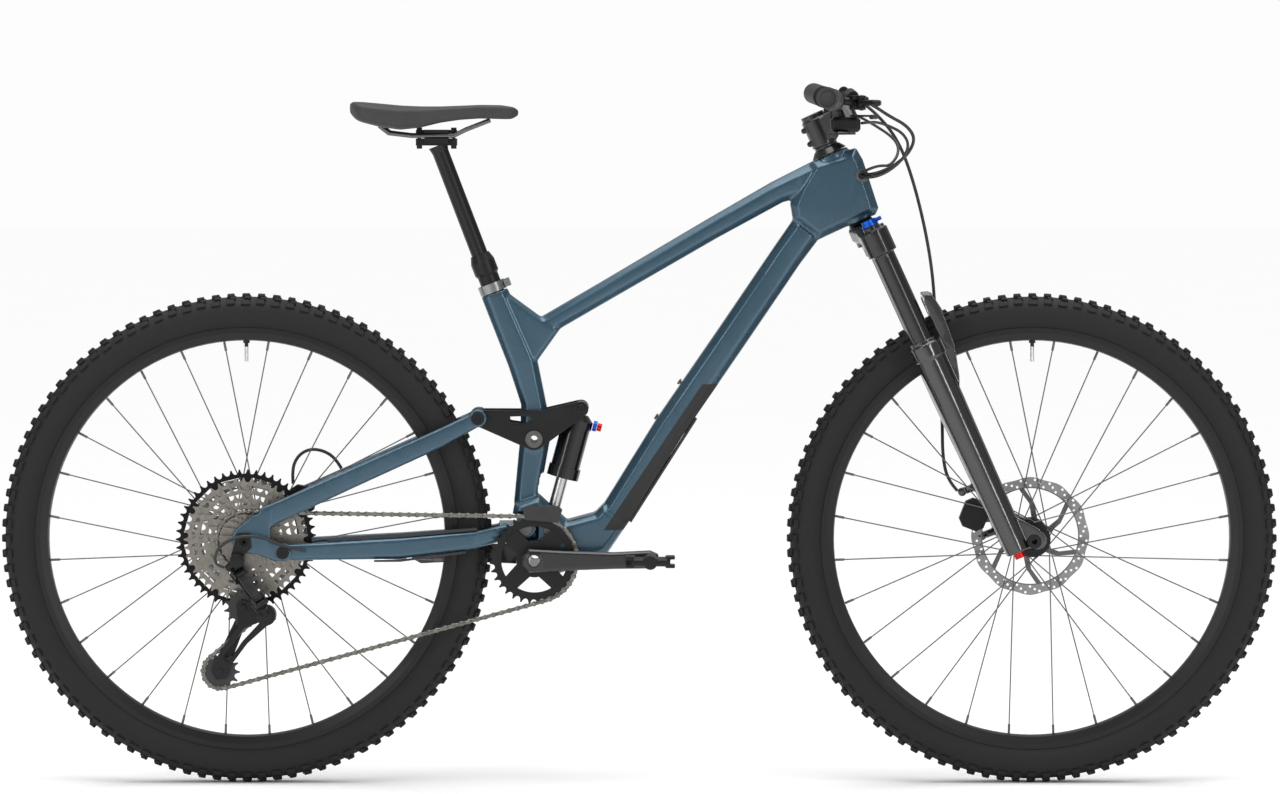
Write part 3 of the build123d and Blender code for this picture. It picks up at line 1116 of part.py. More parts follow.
def mesh_phase(centre, radius):
    """The angle of the roller that sits deepest in a sprocket's wrap."""
    on_circle = [p for p in ROLLERS if abs(hypot(p[0] - centre[0], p[1] - centre[1]) - radius) < 0.02]
    middle = on_circle[len(on_circle) // 2]
    return atan2(middle[1] - centre[1], middle[0] - centre[0])


def sprocket(centre, teeth, y0, y1, bore, phase=0.0, windows=0):
    """A toothed plate with round gullets on the pitch circle."""
    radius, gullet = pitch_radius(teeth), ROLLER_RADIUS + TOOTH_CLEARANCE
    tip, half_tip = radius + 3.0, 0.9 / radius
    outline = []
    for k in range(teeth):
        angle = phase + 2 * pi * k / teeth
        seat = around(centre, angle, radius)
        for turn in (-72, -36, 0, 36, 72):
            outline.append(around((seat.X, seat.Z), angle + pi + radians(-turn), gullet))
        outline.append(around(centre, angle + pi / teeth - half_tip, tip))
        outline.append(around(centre, angle + pi / teeth + half_tip, tip))
    points = [(p.X, p.Z) for p in outline]
    body = plate(points, y0, y1) - disc(centre, y0 - 1, y1 + 1, bore)
    inner, outer, half = bore + 5, radius - gullet - 5, 0.62 * pi / max(windows, 1)
    for k in range(windows):
        angle, lean = 2 * pi * k / windows, 0.25
        corners = [around(centre, angle - half, inner), around(centre, angle + half, inner),
                   around(centre, angle + lean + half, outer), around(centre, angle + lean - half, outer)]
        body -= plate([(c.X, c.Z) for c in corners], y0 - 1, y1 + 1)
    return body


FREEHUB_RADIUS = 14.5


def cog_y(index):
    return CHAIN_Y + (index - CHAIN_COG) * COG_SPACING


def cassette():
    """Twelve cogs, the spacers between them, the lockring and the freehub body that carries them."""
    pieces = []
    for index, teeth in enumerate(COG_TEETH):
        y, phase, bore = cog_y(index), 0.0, FREEHUB_RADIUS + SEAT
        if index == CHAIN_COG:
            phase = mesh_phase(REAR_AXLE, pitch_radius(teeth))
        windows = 0 if teeth < 24 else (9 if teeth < 36 else 12)
        pieces.append(sprocket(REAR_AXLE, teeth, y - COG_THICKNESS / 2, y + COG_THICKNESS / 2, bore, phase, windows))
        if index:
            ring_outer = 15.9 if index == 1 else 18.0
            pieces.append(washer(REAR_AXLE, y - COG_SPACING + COG_THICKNESS / 2 + 0.02, y - COG_THICKNESS / 2 - 0.02, ring_outer, bore))
    small, large = cog_y(0), cog_y(len(COG_TEETH) - 1)
    pieces.append(washer(REAR_AXLE, small - COG_THICKNESS / 2 - 2.5, small - COG_THICKNESS / 2 - 0.05, 15.5, THRU_RADIUS + RUN))
    pieces.append(washer(REAR_AXLE, small - COG_THICKNESS / 2, large + COG_THICKNESS / 2 + 1.0, FREEHUB_RADIUS, THRU_RADIUS + RUN))
    return pieces


def chainring():
    """The narrow-wide ring on its four-armed direct-mount spider."""
    y0, y1 = CHAIN_Y - 0.85, CHAIN_Y + 0.85
    phase = mesh_phase(CRANK, pitch_radius(CHAINRING_TEETH))
    ring = sprocket(CRANK, CHAINRING_TEETH, y0, y1, 50.0, phase)
    arms = 4
    for k in range(arms):
        angle = pi / 4 + k * 2 * pi / arms
        corners = [around(CRANK, angle - 0.62, 24), around(CRANK, angle - 0.24, 52), around(CRANK, angle + 0.24, 52), around(CRANK, angle + 0.62, 24)]
        ring += plate([(c.X, c.Z) for c in corners], y0 - 1.6, y1)
    ring += washer(CRANK, y0 - 1.6, y1, 27, 17.3)
    return ring


ARM_Y = (69.0, 83.0)


def pedal_centre(side):
    """The pedal thread, forward on the right (side -1) and rearward on the left."""
    return (CRANK[0] - side * CRANK_LENGTH, CRANK[1] - side * 1.8)


def crank_arms():
    """Both arms, the hollow spindle, its end cap and the collar that holds the chainring."""
    spindle = disc(CRANK, -70.5, 70.5, 12.0) - disc(CRANK, -72, 72, 9.0)
    right = disc(CRANK, -84, -54.5, 17.0)
    pieces = []
    for side in (-1, 1):
        foot = pedal_centre(side)
        way = -side
        outline = [
            (CRANK[0] - way * 8, CRANK[1] + 18), (CRANK[0] + way * 45, CRANK[1] + 15), (CRANK[0] + way * 120, CRANK[1] + 12.5),
            (foot[0], foot[1] + 13.5), (foot[0] + way * 12, foot[1] + 8), (foot[0] + way * 14, foot[1] - 6),
            (foot[0], foot[1] - 13.5), (CRANK[0] + way * 120, CRANK[1] - 12.5), (CRANK[0] + way * 45, CRANK[1] - 15),
            (CRANK[0] - way * 8, CRANK[1] - 18), (CRANK[0] - way * 18, CRANK[1] - 8), (CRANK[0] - way * 18, CRANK[1] + 8),
        ]
        arm = plate(outline, side * ARM_Y[0], side * ARM_Y[1])
        arm = chamfer(arm.faces().sort_by(Axis.Y)[0 if side < 0 else -1].edges(), 3.5)
        arm -= disc(foot, side * 60, side * 90, 7.0 + SEAT)
        arm -= disc(CRANK, side * 60, side * 90, 12.0 + SEAT)
        if side < 0:
            arm += washer(CRANK, -69, -CHAIN_Y_FACE, 16.8, 12.0 + SEAT)
        pieces.append(arm)
        pieces.append(washer(CRANK, side * 84.0, side * 70.8, 12.0, 8.5) - disc(CRANK, side * 70, side * 90, 8.5))
    pieces.append(spindle)
    pieces.append(washer(CRANK, CHAIN_Y_FACE, 68.7, 15.5, 12.0 + SEAT))
    return pieces


CHAIN_Y_FACE = 49.0


def pedal(side):
    """A clip-in pedal: cage with both binding plates, and bearings over its axle."""
    centre = pedal_centre(side)
    mid_y = side * (ARM_Y[1] + 36)
    y0, y1 = side * (ARM_Y[1] + 2.5), side * (ARM_Y[1] + 66)
    body = disc(centre, y0, y1 - side * 2, 10.5)
    core = Location((centre[0], mid_y, centre[1])) * chamfer(Box(56, 46, 12).edges(), 3)
    body += core
    for way in (1, -1):
        for face in (1, -1):
            hoop = Location((centre[0] + way * 30, mid_y, centre[1] + face * 6.5)) * Box(14, 34, 4.5)
            body += hoop
        body += Location((centre[0] + way * 26, mid_y, centre[1])) * Box(8, 34, 13)
    body -= disc(centre, side * (ARM_Y[1] - 5), y1 - side * 6, 5.0 + RUN)
    return body


def pedal_axles():
    pieces = []
    for side in (-1, 1):
        centre = pedal_centre(side)
        axle = disc(centre, side * (ARM_Y[0] + 1), side * (ARM_Y[1] + 0.2), 7.0)
        axle += disc(centre, side * (ARM_Y[1] + 0.2), side * (ARM_Y[1] + 2.2), 8.5)
        axle += disc(centre, side * (ARM_Y[1] + 2), side * (ARM_Y[1] + 58), 5.0)
        pieces.append(axle)
    return pieces


# ---- chain ---------------------------------------------------------------------------------------------------
INNER_PLATE_Y, OUTER_PLATE_Y = (0.95, 1.55), (1.62, 2.25)
PLATE_END, PLATE_WAIST = 3.6, 2.6
PIN_RADIUS = 1.7


def link_plate(start, end, y0, y1):
    """A waisted link plate between two roller centres."""
    line = atan2(end[1] - start[1], end[0] - start[0])
    middle = ((start[0] + end[0]) / 2, (start[1] + end[1]) / 2)
    corners = [around(start, line + pi / 2, 3.0), around(middle, line + pi / 2, PLATE_WAIST), around(end, line + pi / 2, 3.0),
               around(end, line - pi / 2, 3.0), around(middle, line - pi / 2, PLATE_WAIST), around(start, line - pi / 2, 3.0)]
    web = plate([(c.X, c.Z) for c in corners], y0, y1)
    return web + disc(start, y0, y1, PLATE_END) + disc(end, y0, y1, PLATE_END)


def master_link(outer):
    """One link drawn along +X from the origin: the outer kind carries the pins, the inner kind the rollers."""
    start, end = (0.0, 0.0), (PITCH, 0.0)
    y0, y1 = OUTER_PLATE_Y if outer else INNER_PLATE_Y
    link = link_plate(start, end, y0, y1) + link_plate(start, end, -y1, -y0)
    for centre in (start, end):
        if outer:
            link += disc(centre, -y1, y1, PIN_RADIUS)
        else:
            link += disc(centre, -y0, y0, ROLLER_RADIUS)
            link -= disc(centre, -5, 5, PIN_RADIUS + 0.1)
    return link


def chain():
    """The whole chain, inner and outer links in turn, each laid between its two rollers."""
    kinds = [master_link(False), master_link(True)]
    links = []
    for k, start in enumerate(ROLLERS):
        end = ROLLERS[(k + 1) % len(ROLLERS)]
        turn = atan2(end[1] - start[1], end[0] - start[0]) * 180 / pi
        links.append(Location((start[0], CHAIN_Y, start[1]), (0, -turn, 0)) * kinds[k % 2])
    return links


# ---- rear derailleur -----------------------------------------------------------------------------------------
LINK_START = Vector(-601.0, -79.0, 319.0)
LINK_RUN = Vector(28.0, -21.0, -36.0)
SWING_WAY = Vector(0.0, -LINK_RUN.Z, LINK_RUN.Y).normalized()
LINK_WAY = LINK_RUN.normalized()
LINK_AXIS = LINK_WAY.cross(SWING_WAY).normalized()
LINK_GAP = 9.0
LINK_HALF_WIDTH, LINK_HALF_DEPTH = 7.0, 4.5
CAGE_PIVOT = (-562.0, 260.0)
CAGE_Y = (4.2, 6.4)


def link_eye(end, which):
    """An ear pair that carries one link pin, with the web that joins the ears clear of the link."""
    pin = LINK_START + SWING_WAY * (which * LINK_GAP) + (LINK_RUN if end else Vector(0, 0, 0))
    away = LINK_WAY * (1 if end else -1)
    ears = None
    for side in (1, -1):
        near, far = LINK_AXIS * (side * (LINK_HALF_WIDTH + 0.4)), LINK_AXIS * (side * (LINK_HALF_WIDTH + 3.4))
        ear = rod(pin + near, pin + far, 5.0) + rod(pin + away * 7 + near, pin + away * 7 + far, 5.0)
        ears = ear if ears is None else ears + ear
    web = rod(pin + away * 10.5 - LINK_AXIS * (LINK_HALF_WIDTH + 3.4), pin + away * 10.5 + LINK_AXIS * (LINK_HALF_WIDTH + 3.4), 3.8)
    return ears + web


def link_pins(end):
    pieces = []
    for which in (1, -1):
        pin = LINK_START + SWING_WAY * (which * LINK_GAP) + (LINK_RUN if end else Vector(0, 0, 0))
        reach = LINK_AXIS * (LINK_HALF_WIDTH + 3.8)
        pieces.append((pin - reach, pin + reach))
    return pieces


PIN_OF_LINK = 2.0


def derailleur_knuckle():
    """The block that hangs from the hanger bolt and carries the upper end of both links."""
    body = link_eye(0, 1) + link_eye(0, -1)
    centre = LINK_START - LINK_WAY * 10.5
    body += rod(centre - SWING_WAY * LINK_GAP, centre + SWING_WAY * LINK_GAP, 3.8)
    elbow = Vector(HANGER_BOLT[0] - 13, -93.0, 333.0)
    body += rod(centre - SWING_WAY * 4, elbow, 3.8) + ball(elbow, 5.2) + rod(elbow, at(HANGER_BOLT, -93.2), 5.2)
    body += disc(HANGER_BOLT, -99, -87.4, 11)
    for start, end in link_pins(0):
        body -= rod(start - LINK_AXIS, end + LINK_AXIS, PIN_OF_LINK + SEAT)
    pieces = [body - disc(HANGER_BOLT, -104, -80, 4.5 + SEAT)]
    pieces += [rod(start, end, PIN_OF_LINK) for start, end in link_pins(0)]
    pieces.append(disc(HANGER_BOLT, -99.3, -82.0, 4.5) + disc(HANGER_BOLT, -102, -99.3, 8))
    return pieces


def derailleur_link(which):
    """One of the parallelogram's two links: 1 is the inner, -1 the outer."""
    start = LINK_START + SWING_WAY * (which * LINK_GAP)
    end = start + LINK_RUN
    half = LINK_AXIS * LINK_HALF_WIDTH
    body = rod(start - half, start + half, 5.0) + rod(end - half, end + half, 5.0)
    base = make_face(Polyline(
        start + half + SWING_WAY * 3, start - half + SWING_WAY * 3, start - half - SWING_WAY * 3, start + half - SWING_WAY * 3, close=True))
    body += extrude(base, amount=LINK_RUN.length, dir=LINK_WAY)
    for place in (start, end):
        body -= rod(place - half * 2, place + half * 2, PIN_OF_LINK + RUN)
    return body


def cage_knuckle():
    """The lower block: ears for both links and the round housing of the cage's spring and clutch."""
    body = link_eye(1, 1) + link_eye(1, -1)
    centre = LINK_START + LINK_RUN + LINK_WAY * 10.5
    for which in (1, -1):
        body += rod(centre, centre + SWING_WAY * (which * LINK_GAP), 3.8)
    housing = disc(CAGE_PIVOT, -92, -61.5, 15) + disc(CAGE_PIVOT, -95, -90, 11)
    body += housing + rod(centre, at(CAGE_PIVOT, -88), 7)
    for start, end in link_pins(1):
        body -= rod(start - LINK_AXIS, end + LINK_AXIS, PIN_OF_LINK + SEAT)
    body -= disc(CAGE_PIVOT, -80, -50, 5 + RUN)
    pieces = [body] + [rod(start, end, PIN_OF_LINK) for start, end in link_pins(1)]
    return pieces


def cage_outline():
    px, pz = CAGE_PIVOT
    gx, gz = GUIDE_PULLEY
    tx, tz = TENSION_PULLEY
    return [
        (px - 8, pz + 15), (px + 12, pz + 8), (px + 14, pz - 8), (px - 2, pz - 20), (px - 30, pz - 45), (tx + 14, tz + 6), (tx + 10, tz - 10),
        (tx - 6, tz - 12), (tx - 14, tz + 2), (tx - 8, tz + 18), (gx - 8, gz - 28), (gx - 10, gz + 4), (gx - 2, gz + 12),
    ]


def derailleur_cage():
    """Outer and inner cage plates, the two pulley bolts and the pivot that turns in the knuckle."""
    outline = cage_outline()
    outer = plate(outline, CHAIN_Y - CAGE_Y[1], CHAIN_Y - CAGE_Y[0])
    window = [(CAGE_PIVOT[0] - 34, CAGE_PIVOT[1] - 22), (CAGE_PIVOT[0] - 10, CAGE_PIVOT[1] - 12), (CAGE_PIVOT[0] - 38, CAGE_PIVOT[1] - 42),
              (TENSION_PULLEY[0] + 12, TENSION_PULLEY[1] + 14), (TENSION_PULLEY[0] + 4, TENSION_PULLEY[1] + 22)]
    outer -= plate(window, CHAIN_Y - 10, CHAIN_Y)
    inner_points = [
        (GUIDE_PULLEY[0] + 11, GUIDE_PULLEY[1] + 4), (GUIDE_PULLEY[0] + 8, GUIDE_PULLEY[1] - 14), (TENSION_PULLEY[0] + 13, TENSION_PULLEY[1] + 6),
        (TENSION_PULLEY[0] + 8, TENSION_PULLEY[1] - 11), (TENSION_PULLEY[0] - 8, TENSION_PULLEY[1] - 11), (TENSION_PULLEY[0] - 13, TENSION_PULLEY[1] + 4),
        (GUIDE_PULLEY[0] - 10, GUIDE_PULLEY[1] - 14), (GUIDE_PULLEY[0] - 11, GUIDE_PULLEY[1] + 6), (GUIDE_PULLEY[0], GUIDE_PULLEY[1] + 12),
    ]
    inner = plate(inner_points, CHAIN_Y + CAGE_Y[0], CHAIN_Y + CAGE_Y[1])
    body = outer + inner
    for pulley in (GUIDE_PULLEY, TENSION_PULLEY):
        body += disc(pulley, CHAIN_Y - CAGE_Y[1], CHAIN_Y + CAGE_Y[1], 3.0)
        body += disc(pulley, CHAIN_Y - CAGE_Y[1] - 1.8, CHAIN_Y - CAGE_Y[1], 4.8)
    body += disc(CAGE_PIVOT, -61.2, CHAIN_Y - CAGE_Y[1] + 1, 13)
    body += disc(CAGE_PIVOT, -79.5, CHAIN_Y - CAGE_Y[0], 5)
    return body


def pulley(centre):
    """A toothed jockey wheel with its bush."""
    phase = mesh_phase(centre, pitch_radius(PULLEY_TEETH))
    wheel = sprocket(centre, PULLEY_TEETH, CHAIN_Y - 0.8, CHAIN_Y + 0.8, 3.0 + RUN, phase, 0)
    wheel += washer(centre, CHAIN_Y - 3.6, CHAIN_Y + 3.6, 8, 3.0 + RUN)
    return wheel


# ---- hoses and cables ----------------------------------------------------------------------------------------
HOSE_RADIUS, CABLE_RADIUS = 2.5, 2.1
BEND_SHARE = 0.45


def cable(points, radius):
    """A round cable along straight runs joined by arcs that are as large as the runs allow."""
    places = [Vector(p) for p in points]
    radii = []
    for before, corner, after in zip(places, places[1:], places[2:]):
        turn = radians((corner - before).get_angle(after - corner))
        shorter = min((corner - before).length, (after - corner).length)
        radii.append(BEND_SHARE * shorter / (sin(turn / 2) / cos(turn / 2)))
    print("cable bends", [round(r) for r in radii])
    line = FilletPolyline(*places, radius=radii)
    start = Plane(origin=places[0], z_dir=places[1] - places[0])
    return sweep(start * Circle(radius), path=line)


FRONT_HOSE = [
    (313.5, 139.8, 1038.6), (325.0, 121.0, 1039.0), (345.0, 104.0, 1027.0), (369.0, 96.0, 1005.0), (389.0, 92.0, 980.0),
    (405.0, 90.0, 948.0), (421.0, 89.0, 899.0), (436.0, 91.0, 838.0), (447.0, 95.0, 776.0), (452.0, 98.0, 715.0),
    (455.0, 98.5, 655.0), (461.0, 96.0, 596.0), (463.0, 88.0, 540.0), (463.0, 76.0, 490.0), (470.0, 60.0, 455.0),
    (484.0, 47.0, 440.0),
]
REAR_HOSE = [
    (313.5, -139.8, 1038.6), (329.0, -124.0, 1038.0), (351.0, -111.0, 1027.0), (375.0, -101.0, 1011.0),
    (400.0, -92.0, 998.0), (414.0, -83.0, 979.0), (406.0, -73.0, 957.0), (387.0, -65.0, 939.0), (366.0, -60.0, 928.0),
    (348.0, -53.0, 923.0), (338.5, -38.0, 922.6),
]
SHIFT_CABLE = [
    (330.5, -184.0, 1002.0), (343.0, -166.0, 1003.0), (354.0, -141.0, 1003.0), (371.0, -116.0, 998.0),
    (394.0, -100.0, 987.0), (405.0, -88.0, 969.0), (397.0, -77.0, 948.0), (379.0, -68.0, 931.0), (360.0, -61.5, 921.0),
    (343.0, -52.5, 918.0), (333.8, -38.0, 919.8),
]
DROPPER_CABLE = [
    (311.5, 170.0, 1015.0), (328.0, 149.0, 1012.0), (346.0, 117.0, 1003.0), (364.0, 77.0, 992.0),
    (380.0, 33.0, 981.0), (391.0, -10.0, 968.0), (390.0, -42.0, 952.0), (377.0, -58.0, 936.0),
    (361.0, -62.0, 937.0), (343.0, -54.0, 930.5), (333.8, -38.0, 925.0),
]
GEAR_LOOP = [
    (-503.0, -76.0, 357.0), (-520.0, -85.0, 360.0), (-540.0, -94.0, 368.0), (-562.0, -101.0, 378.0),
    (-586.0, -105.0, 382.0), (-609.0, -105.0, 379.0), (-630.0, -102.0, 366.0), (-639.0, -98.0, 349.0),
    (-635.5, -94.5, 336.0), (-623.9, -93.2, 333.1),
]
REAR_BRAKE_LOOP = [
    (-454.2, 61.0, 472.6), (-463.0, 61.0, 488.0), (-481.0, 61.0, 500.0), (-503.0, 60.0, 503.0),
    (-521.0, 58.0, 492.0), (-529.5, 56.0, 471.0), (-527.6, 54.0, 449.5),
]


def cockpit_cables():
    """Front brake hose to the fork, and rear hose, gear and dropper cables into the frame's port."""
    return [cable(FRONT_HOSE, HOSE_RADIUS), cable(REAR_HOSE, HOSE_RADIUS), cable(SHIFT_CABLE, CABLE_RADIUS),
            cable(DROPPER_CABLE, CABLE_RADIUS)]


def rear_cables():
    """The gear cable's last loop to the derailleur and the rear brake hose's last loop to its caliper."""
    return [cable(GEAR_LOOP, CABLE_RADIUS), cable(REAR_BRAKE_LOOP, HOSE_RADIUS)]


# ---- write every node ----------------------------------------------------------------------------------------
write("front_triangle", front_triangle())
write("bearing_cups", bearing_cups())
write("seat_clamp", seat_clamp())
write("down_tube_guard", down_tube_guard())
write("frame_hardware", frame_hardware())
write("chain_guide", chain_guide())
write("dropper_lower_tube", dropper_lower_tube())
write("dropper_post", dropper_post())
write("saddle", saddle())
write("saddle_rails", saddle_rails())
write("chainstay", chainstay())
write("chainstay_guard", chainstay_guard())
write("seatstay", seatstay())
write("stay_hardware", stay_hardware())
write("rocker_link", rocker_link(), rocker_bolt())
write("shock_shaft", shock_shaft())
write("shock_body", shock_body())
write("shock_lever", shock_lever())
write("shock_rebound_knob", shock_rebound_knob())
for end, centre, hub in (("front", FRONT_AXLE, FRONT_HUB), ("rear", REAR_AXLE, REAR_HUB)):
    write(f"{end}_tyre", tyre(centre))
    write(f"{end}_rim", rim(centre))
    write(f"{end}_spokes", spokes(centre, hub))
    write(f"{end}_hub", hub_shell(centre, hub))
    write(f"{end}_rotor", rotor(centre, hub))
write("fork_uppers", fork_uppers())
write("damper_knob", damper_knob())
write("fork_lowers", fork_lowers())
write("front_axle", front_axle())
write("front_caliper", front_caliper())
write("rear_caliper", rear_caliper())
write("rebound_knob", rebound_knob())
write("handlebar", handlebar())
write("grips", grips())
write("stem", stem())
write("control_bodies", control_bodies())
write("brake_lever_left", brake_lever(1))
write("brake_lever_right", brake_lever(-1))
write("shift_lever", shift_lever())
write("release_lever", release_lever())
write("dropper_lever", dropper_lever())
write("cassette", cassette())
write("chainring", chainring())
write("crank_arms", crank_arms(), pedal_axles())
write("pedal_right", pedal(-1))
write("pedal_left", pedal(1))
write("chain", chain())
write("derailleur_knuckle", derailleur_knuckle())
write("inner_link", derailleur_link(1))
write("outer_link", derailleur_link(-1))
write("cage_knuckle", cage_knuckle())
write("derailleur_cage", derailleur_cage())
write("guide_pulley", pulley(GUIDE_PULLEY))
write("tension_pulley", pulley(TENSION_PULLEY))
write("cockpit_cables", cockpit_cables())
write("rear_cables", rear_cables())
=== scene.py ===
from math import cos, sin, pi, radians, atan2, hypot

import bpy
import bmesh
from mathutils import Matrix, Vector


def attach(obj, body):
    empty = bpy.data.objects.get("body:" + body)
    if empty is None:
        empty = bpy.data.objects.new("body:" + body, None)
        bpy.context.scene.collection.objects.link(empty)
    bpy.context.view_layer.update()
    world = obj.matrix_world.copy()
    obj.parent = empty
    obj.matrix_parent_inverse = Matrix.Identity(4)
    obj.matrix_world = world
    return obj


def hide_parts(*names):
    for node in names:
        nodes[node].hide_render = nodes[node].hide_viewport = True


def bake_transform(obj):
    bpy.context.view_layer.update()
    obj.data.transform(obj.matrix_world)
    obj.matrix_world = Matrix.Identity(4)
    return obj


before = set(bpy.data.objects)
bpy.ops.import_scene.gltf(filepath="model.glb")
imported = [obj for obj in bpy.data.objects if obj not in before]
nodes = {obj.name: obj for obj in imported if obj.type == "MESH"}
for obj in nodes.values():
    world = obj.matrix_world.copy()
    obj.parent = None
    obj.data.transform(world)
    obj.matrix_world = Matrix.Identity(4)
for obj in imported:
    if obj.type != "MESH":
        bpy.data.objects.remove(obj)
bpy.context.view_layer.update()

bpy.ops.object.select_all(action="DESELECT")


# ---- view ----------------------------------------------------------------------------------------------------
# The whole bike from its right side, from far away and a little above the hubs, with a long lens.
aim = Vector((0.001, 0.0, 0.585))
tilt = radians(3.0)
bpy.ops.object.camera_add(location=aim + Vector((0.0, -10.5 * cos(tilt), 10.5 * sin(tilt))))
camera = bpy.context.object
camera.rotation_euler = (pi / 2 - tilt, 0.0, 0.0)
camera.data.lens = 194.9
camera.data.sensor_width = 36.0
camera.data.clip_end = 100.0
bpy.context.scene.camera = camera
bpy.context.scene.view_settings.view_transform = "Standard"


# ---- studio --------------------------------------------------------------------------------------------------
# A pale seamless floor under soft light: one broad panel above, long strips at both sides whose reflections run
# down the fork and the tubes, and a little light from behind.
world = bpy.data.worlds.new("studio")
bpy.context.scene.world = world
world.use_nodes = True
backdrop = world.node_tree.nodes["Background"]
backdrop.inputs["Color"].default_value = (1.0, 1.0, 1.0, 1.0)
seen = world.node_tree.nodes.new("ShaderNodeLightPath")
brightness = world.node_tree.nodes.new("ShaderNodeMapRange")
brightness.inputs["To Min"].default_value, brightness.inputs["To Max"].default_value = 0.36, 0.98
world.node_tree.links.new(seen.outputs["Is Camera Ray"], brightness.inputs["Value"])
world.node_tree.links.new(brightness.outputs[0], backdrop.inputs["Strength"])
bpy.ops.object.light_add(type="SUN", location=(0.0, 0.0, 5.0), rotation=(radians(-8.0), 0.0, 0.0))
sky_light = bpy.context.object
sky_light.name = "sky_light"
sky_light.data.energy = 2.1
sky_light.data.angle = radians(70.0)
panels = (
    ("overhead", (0.0, -1.0, 3.8), 3.6, 2.0, 40.0), ("left_strip", (-2.6, -3.2, 1.7), 0.5, 2.6, 34.0),
    ("right_strip", (2.5, -3.4, 1.6), 0.4, 2.6, 34.0),
)
for name, place, width, height, power in panels:
    bpy.ops.object.light_add(type="AREA", location=place)
    panel = bpy.context.object
    panel.name = name
    panel.data.shape = "RECTANGLE"
    panel.data.size, panel.data.size_y = width, height
    panel.data.energy = power
    panel.rotation_euler = (Vector((0.0, 0.0, 0.5)) - Vector(place)).to_track_quat("-Z", "Y").to_euler()


class Shade:
    """One socket of a finish. Sums, products and the like on it add the nodes that work them out."""

    def __init__(self, tree, socket):
        self.tree, self.socket = tree, socket

    def math(self, operation, *values):
        node = self.tree.nodes.new("ShaderNodeMath")
        node.operation = operation
        for slot_in, value in zip(node.inputs, values):
            if isinstance(value, Shade):
                self.tree.links.new(value.socket, slot_in)
            else:
                slot_in.default_value = value
        return Shade(self.tree, node.outputs[0])

    def __add__(self, other):
        return self.math("ADD", self, other)

    def __radd__(self, other):
        return self.math("ADD", other, self)

    def __sub__(self, other):
        return self.math("SUBTRACT", self, other)

    def __rsub__(self, other):
        return self.math("SUBTRACT", other, self)

    def __mul__(self, other):
        return self.math("MULTIPLY", self, other)

    def __rmul__(self, other):
        return self.math("MULTIPLY", other, self)

    def __truediv__(self, other):
        return self.math("DIVIDE", self, other)

    def __gt__(self, other):
        return self.math("GREATER_THAN", self, other)

    def __lt__(self, other):
        return self.math("LESS_THAN", self, other)


class Finish:
    """One material, and the place where its nodes are added."""

    def __init__(self, name):
        self.material = bpy.data.materials.new(name)
        self.material.use_nodes = True
        self.tree = self.material.node_tree
        self.tree.nodes.clear()
        self.place = self.add("TexCoord", out="Object")

    def add(self, kind, settings=None, links=None, out=0):
        node = self.tree.nodes.new("ShaderNode" + kind)
        for key, value in (settings or {}).items():
            if key == "stops":
                ramp = node.color_ramp.elements
                while len(ramp) < len(value):
                    ramp.new(0.5)
                for element, (position, shade) in zip(ramp, value):
                    element.position, element.color = position, shade
            else:
                setattr(node, key, value)
        for key, value in (links or {}).items():
            if isinstance(value, Shade):
                self.tree.links.new(value.socket, node.inputs[key])
            else:
                node.inputs[key].default_value = value
        return Shade(self.tree, node.outputs[out])

    def noise(self, scale, detail=3.0, vector=None):
        return self.add("TexNoise", links={"Vector": vector or self.place, "Scale": scale, "Detail": detail})

    def axes(self, vector=None):
        parts = self.add("SeparateXYZ", links={"Vector": vector or self.place})
        return parts, Shade(self.tree, parts.socket.node.outputs[1]), Shade(self.tree, parts.socket.node.outputs[2])

    def mix(self, share, first, second):
        return self.add("Mix", {"data_type": "RGBA"}, {"Factor": share, 6: first, 7: second}, out=2)

    def bump(self, height, distance, strength=1.0):
        return self.add("Bump", links={"Height": height, "Distance": distance, "Strength": strength})

    def done(self, **sockets):
        surface = self.add("BsdfPrincipled", links={key.replace("_", " "): value for key, value in sockets.items()})
        end = self.tree.nodes.new("ShaderNodeOutputMaterial")
        self.tree.links.new(surface.socket, end.inputs["Surface"])
        return self.material


def wear(material, *names):
    """Gives a material to carried-over CAD nodes, in every one of their slots."""
    for name in names:
        piece = nodes[name]
        if not piece.material_slots:
            piece.data.materials.append(material)
        for place in piece.material_slots:
            place.material = material


bpy.ops.mesh.primitive_plane_add(size=60.0, location=(0.0, 0.0, 0.0))
floor = bpy.context.object
floor.name = "floor"
paper = Finish("studio_paper")
floor.data.materials.append(paper.done(
    Base_Color=paper.mix(paper.noise(3.0), (0.955, 0.955, 0.955, 1), (0.975, 0.975, 0.975, 1)), Roughness=0.9,
    Specular_IOR_Level=0.1))


# ---- frame ---------------------------------------------------------------------------------------------------
# The front triangle and both stays are moulded carbon fibre with soft facets, in a satin steel blue with fine
# metal flake under a clear coat. The paint is a little darker and duller where hands and trousers rub.
blue = Finish("steel_blue_paint")
flake = blue.noise(2600.0, 1.0)
cloud = blue.noise(5.0, 2.0)
steel_blue = blue.mix(cloud, (0.026, 0.066, 0.100, 1), (0.036, 0.086, 0.126, 1))
steel_blue = blue.mix((flake > 0.60) * 0.35, steel_blue, (0.11, 0.23, 0.31, 1))
east, _, height = blue.axes()
below_edge = (east - 0.121) * 0.829 - (height - 0.614) * 0.559
guard = (below_edge > -0.017) * (height < 0.606) * (height > 0.385) * (east > -0.06)
steel_blue = blue.mix(guard, steel_blue, (0.012, 0.012, 0.013, 1))
frame_paint = blue.done(
    Base_Color=steel_blue, Metallic=0.62 - guard * 0.62, Roughness=0.30 + cloud * 0.10 + guard * 0.28,
    Coat_Weight=0.6 - guard * 0.6, Coat_Roughness=0.12,
    Normal=blue.bump(blue.noise(420.0, 2.0), 0.00004, 0.25))


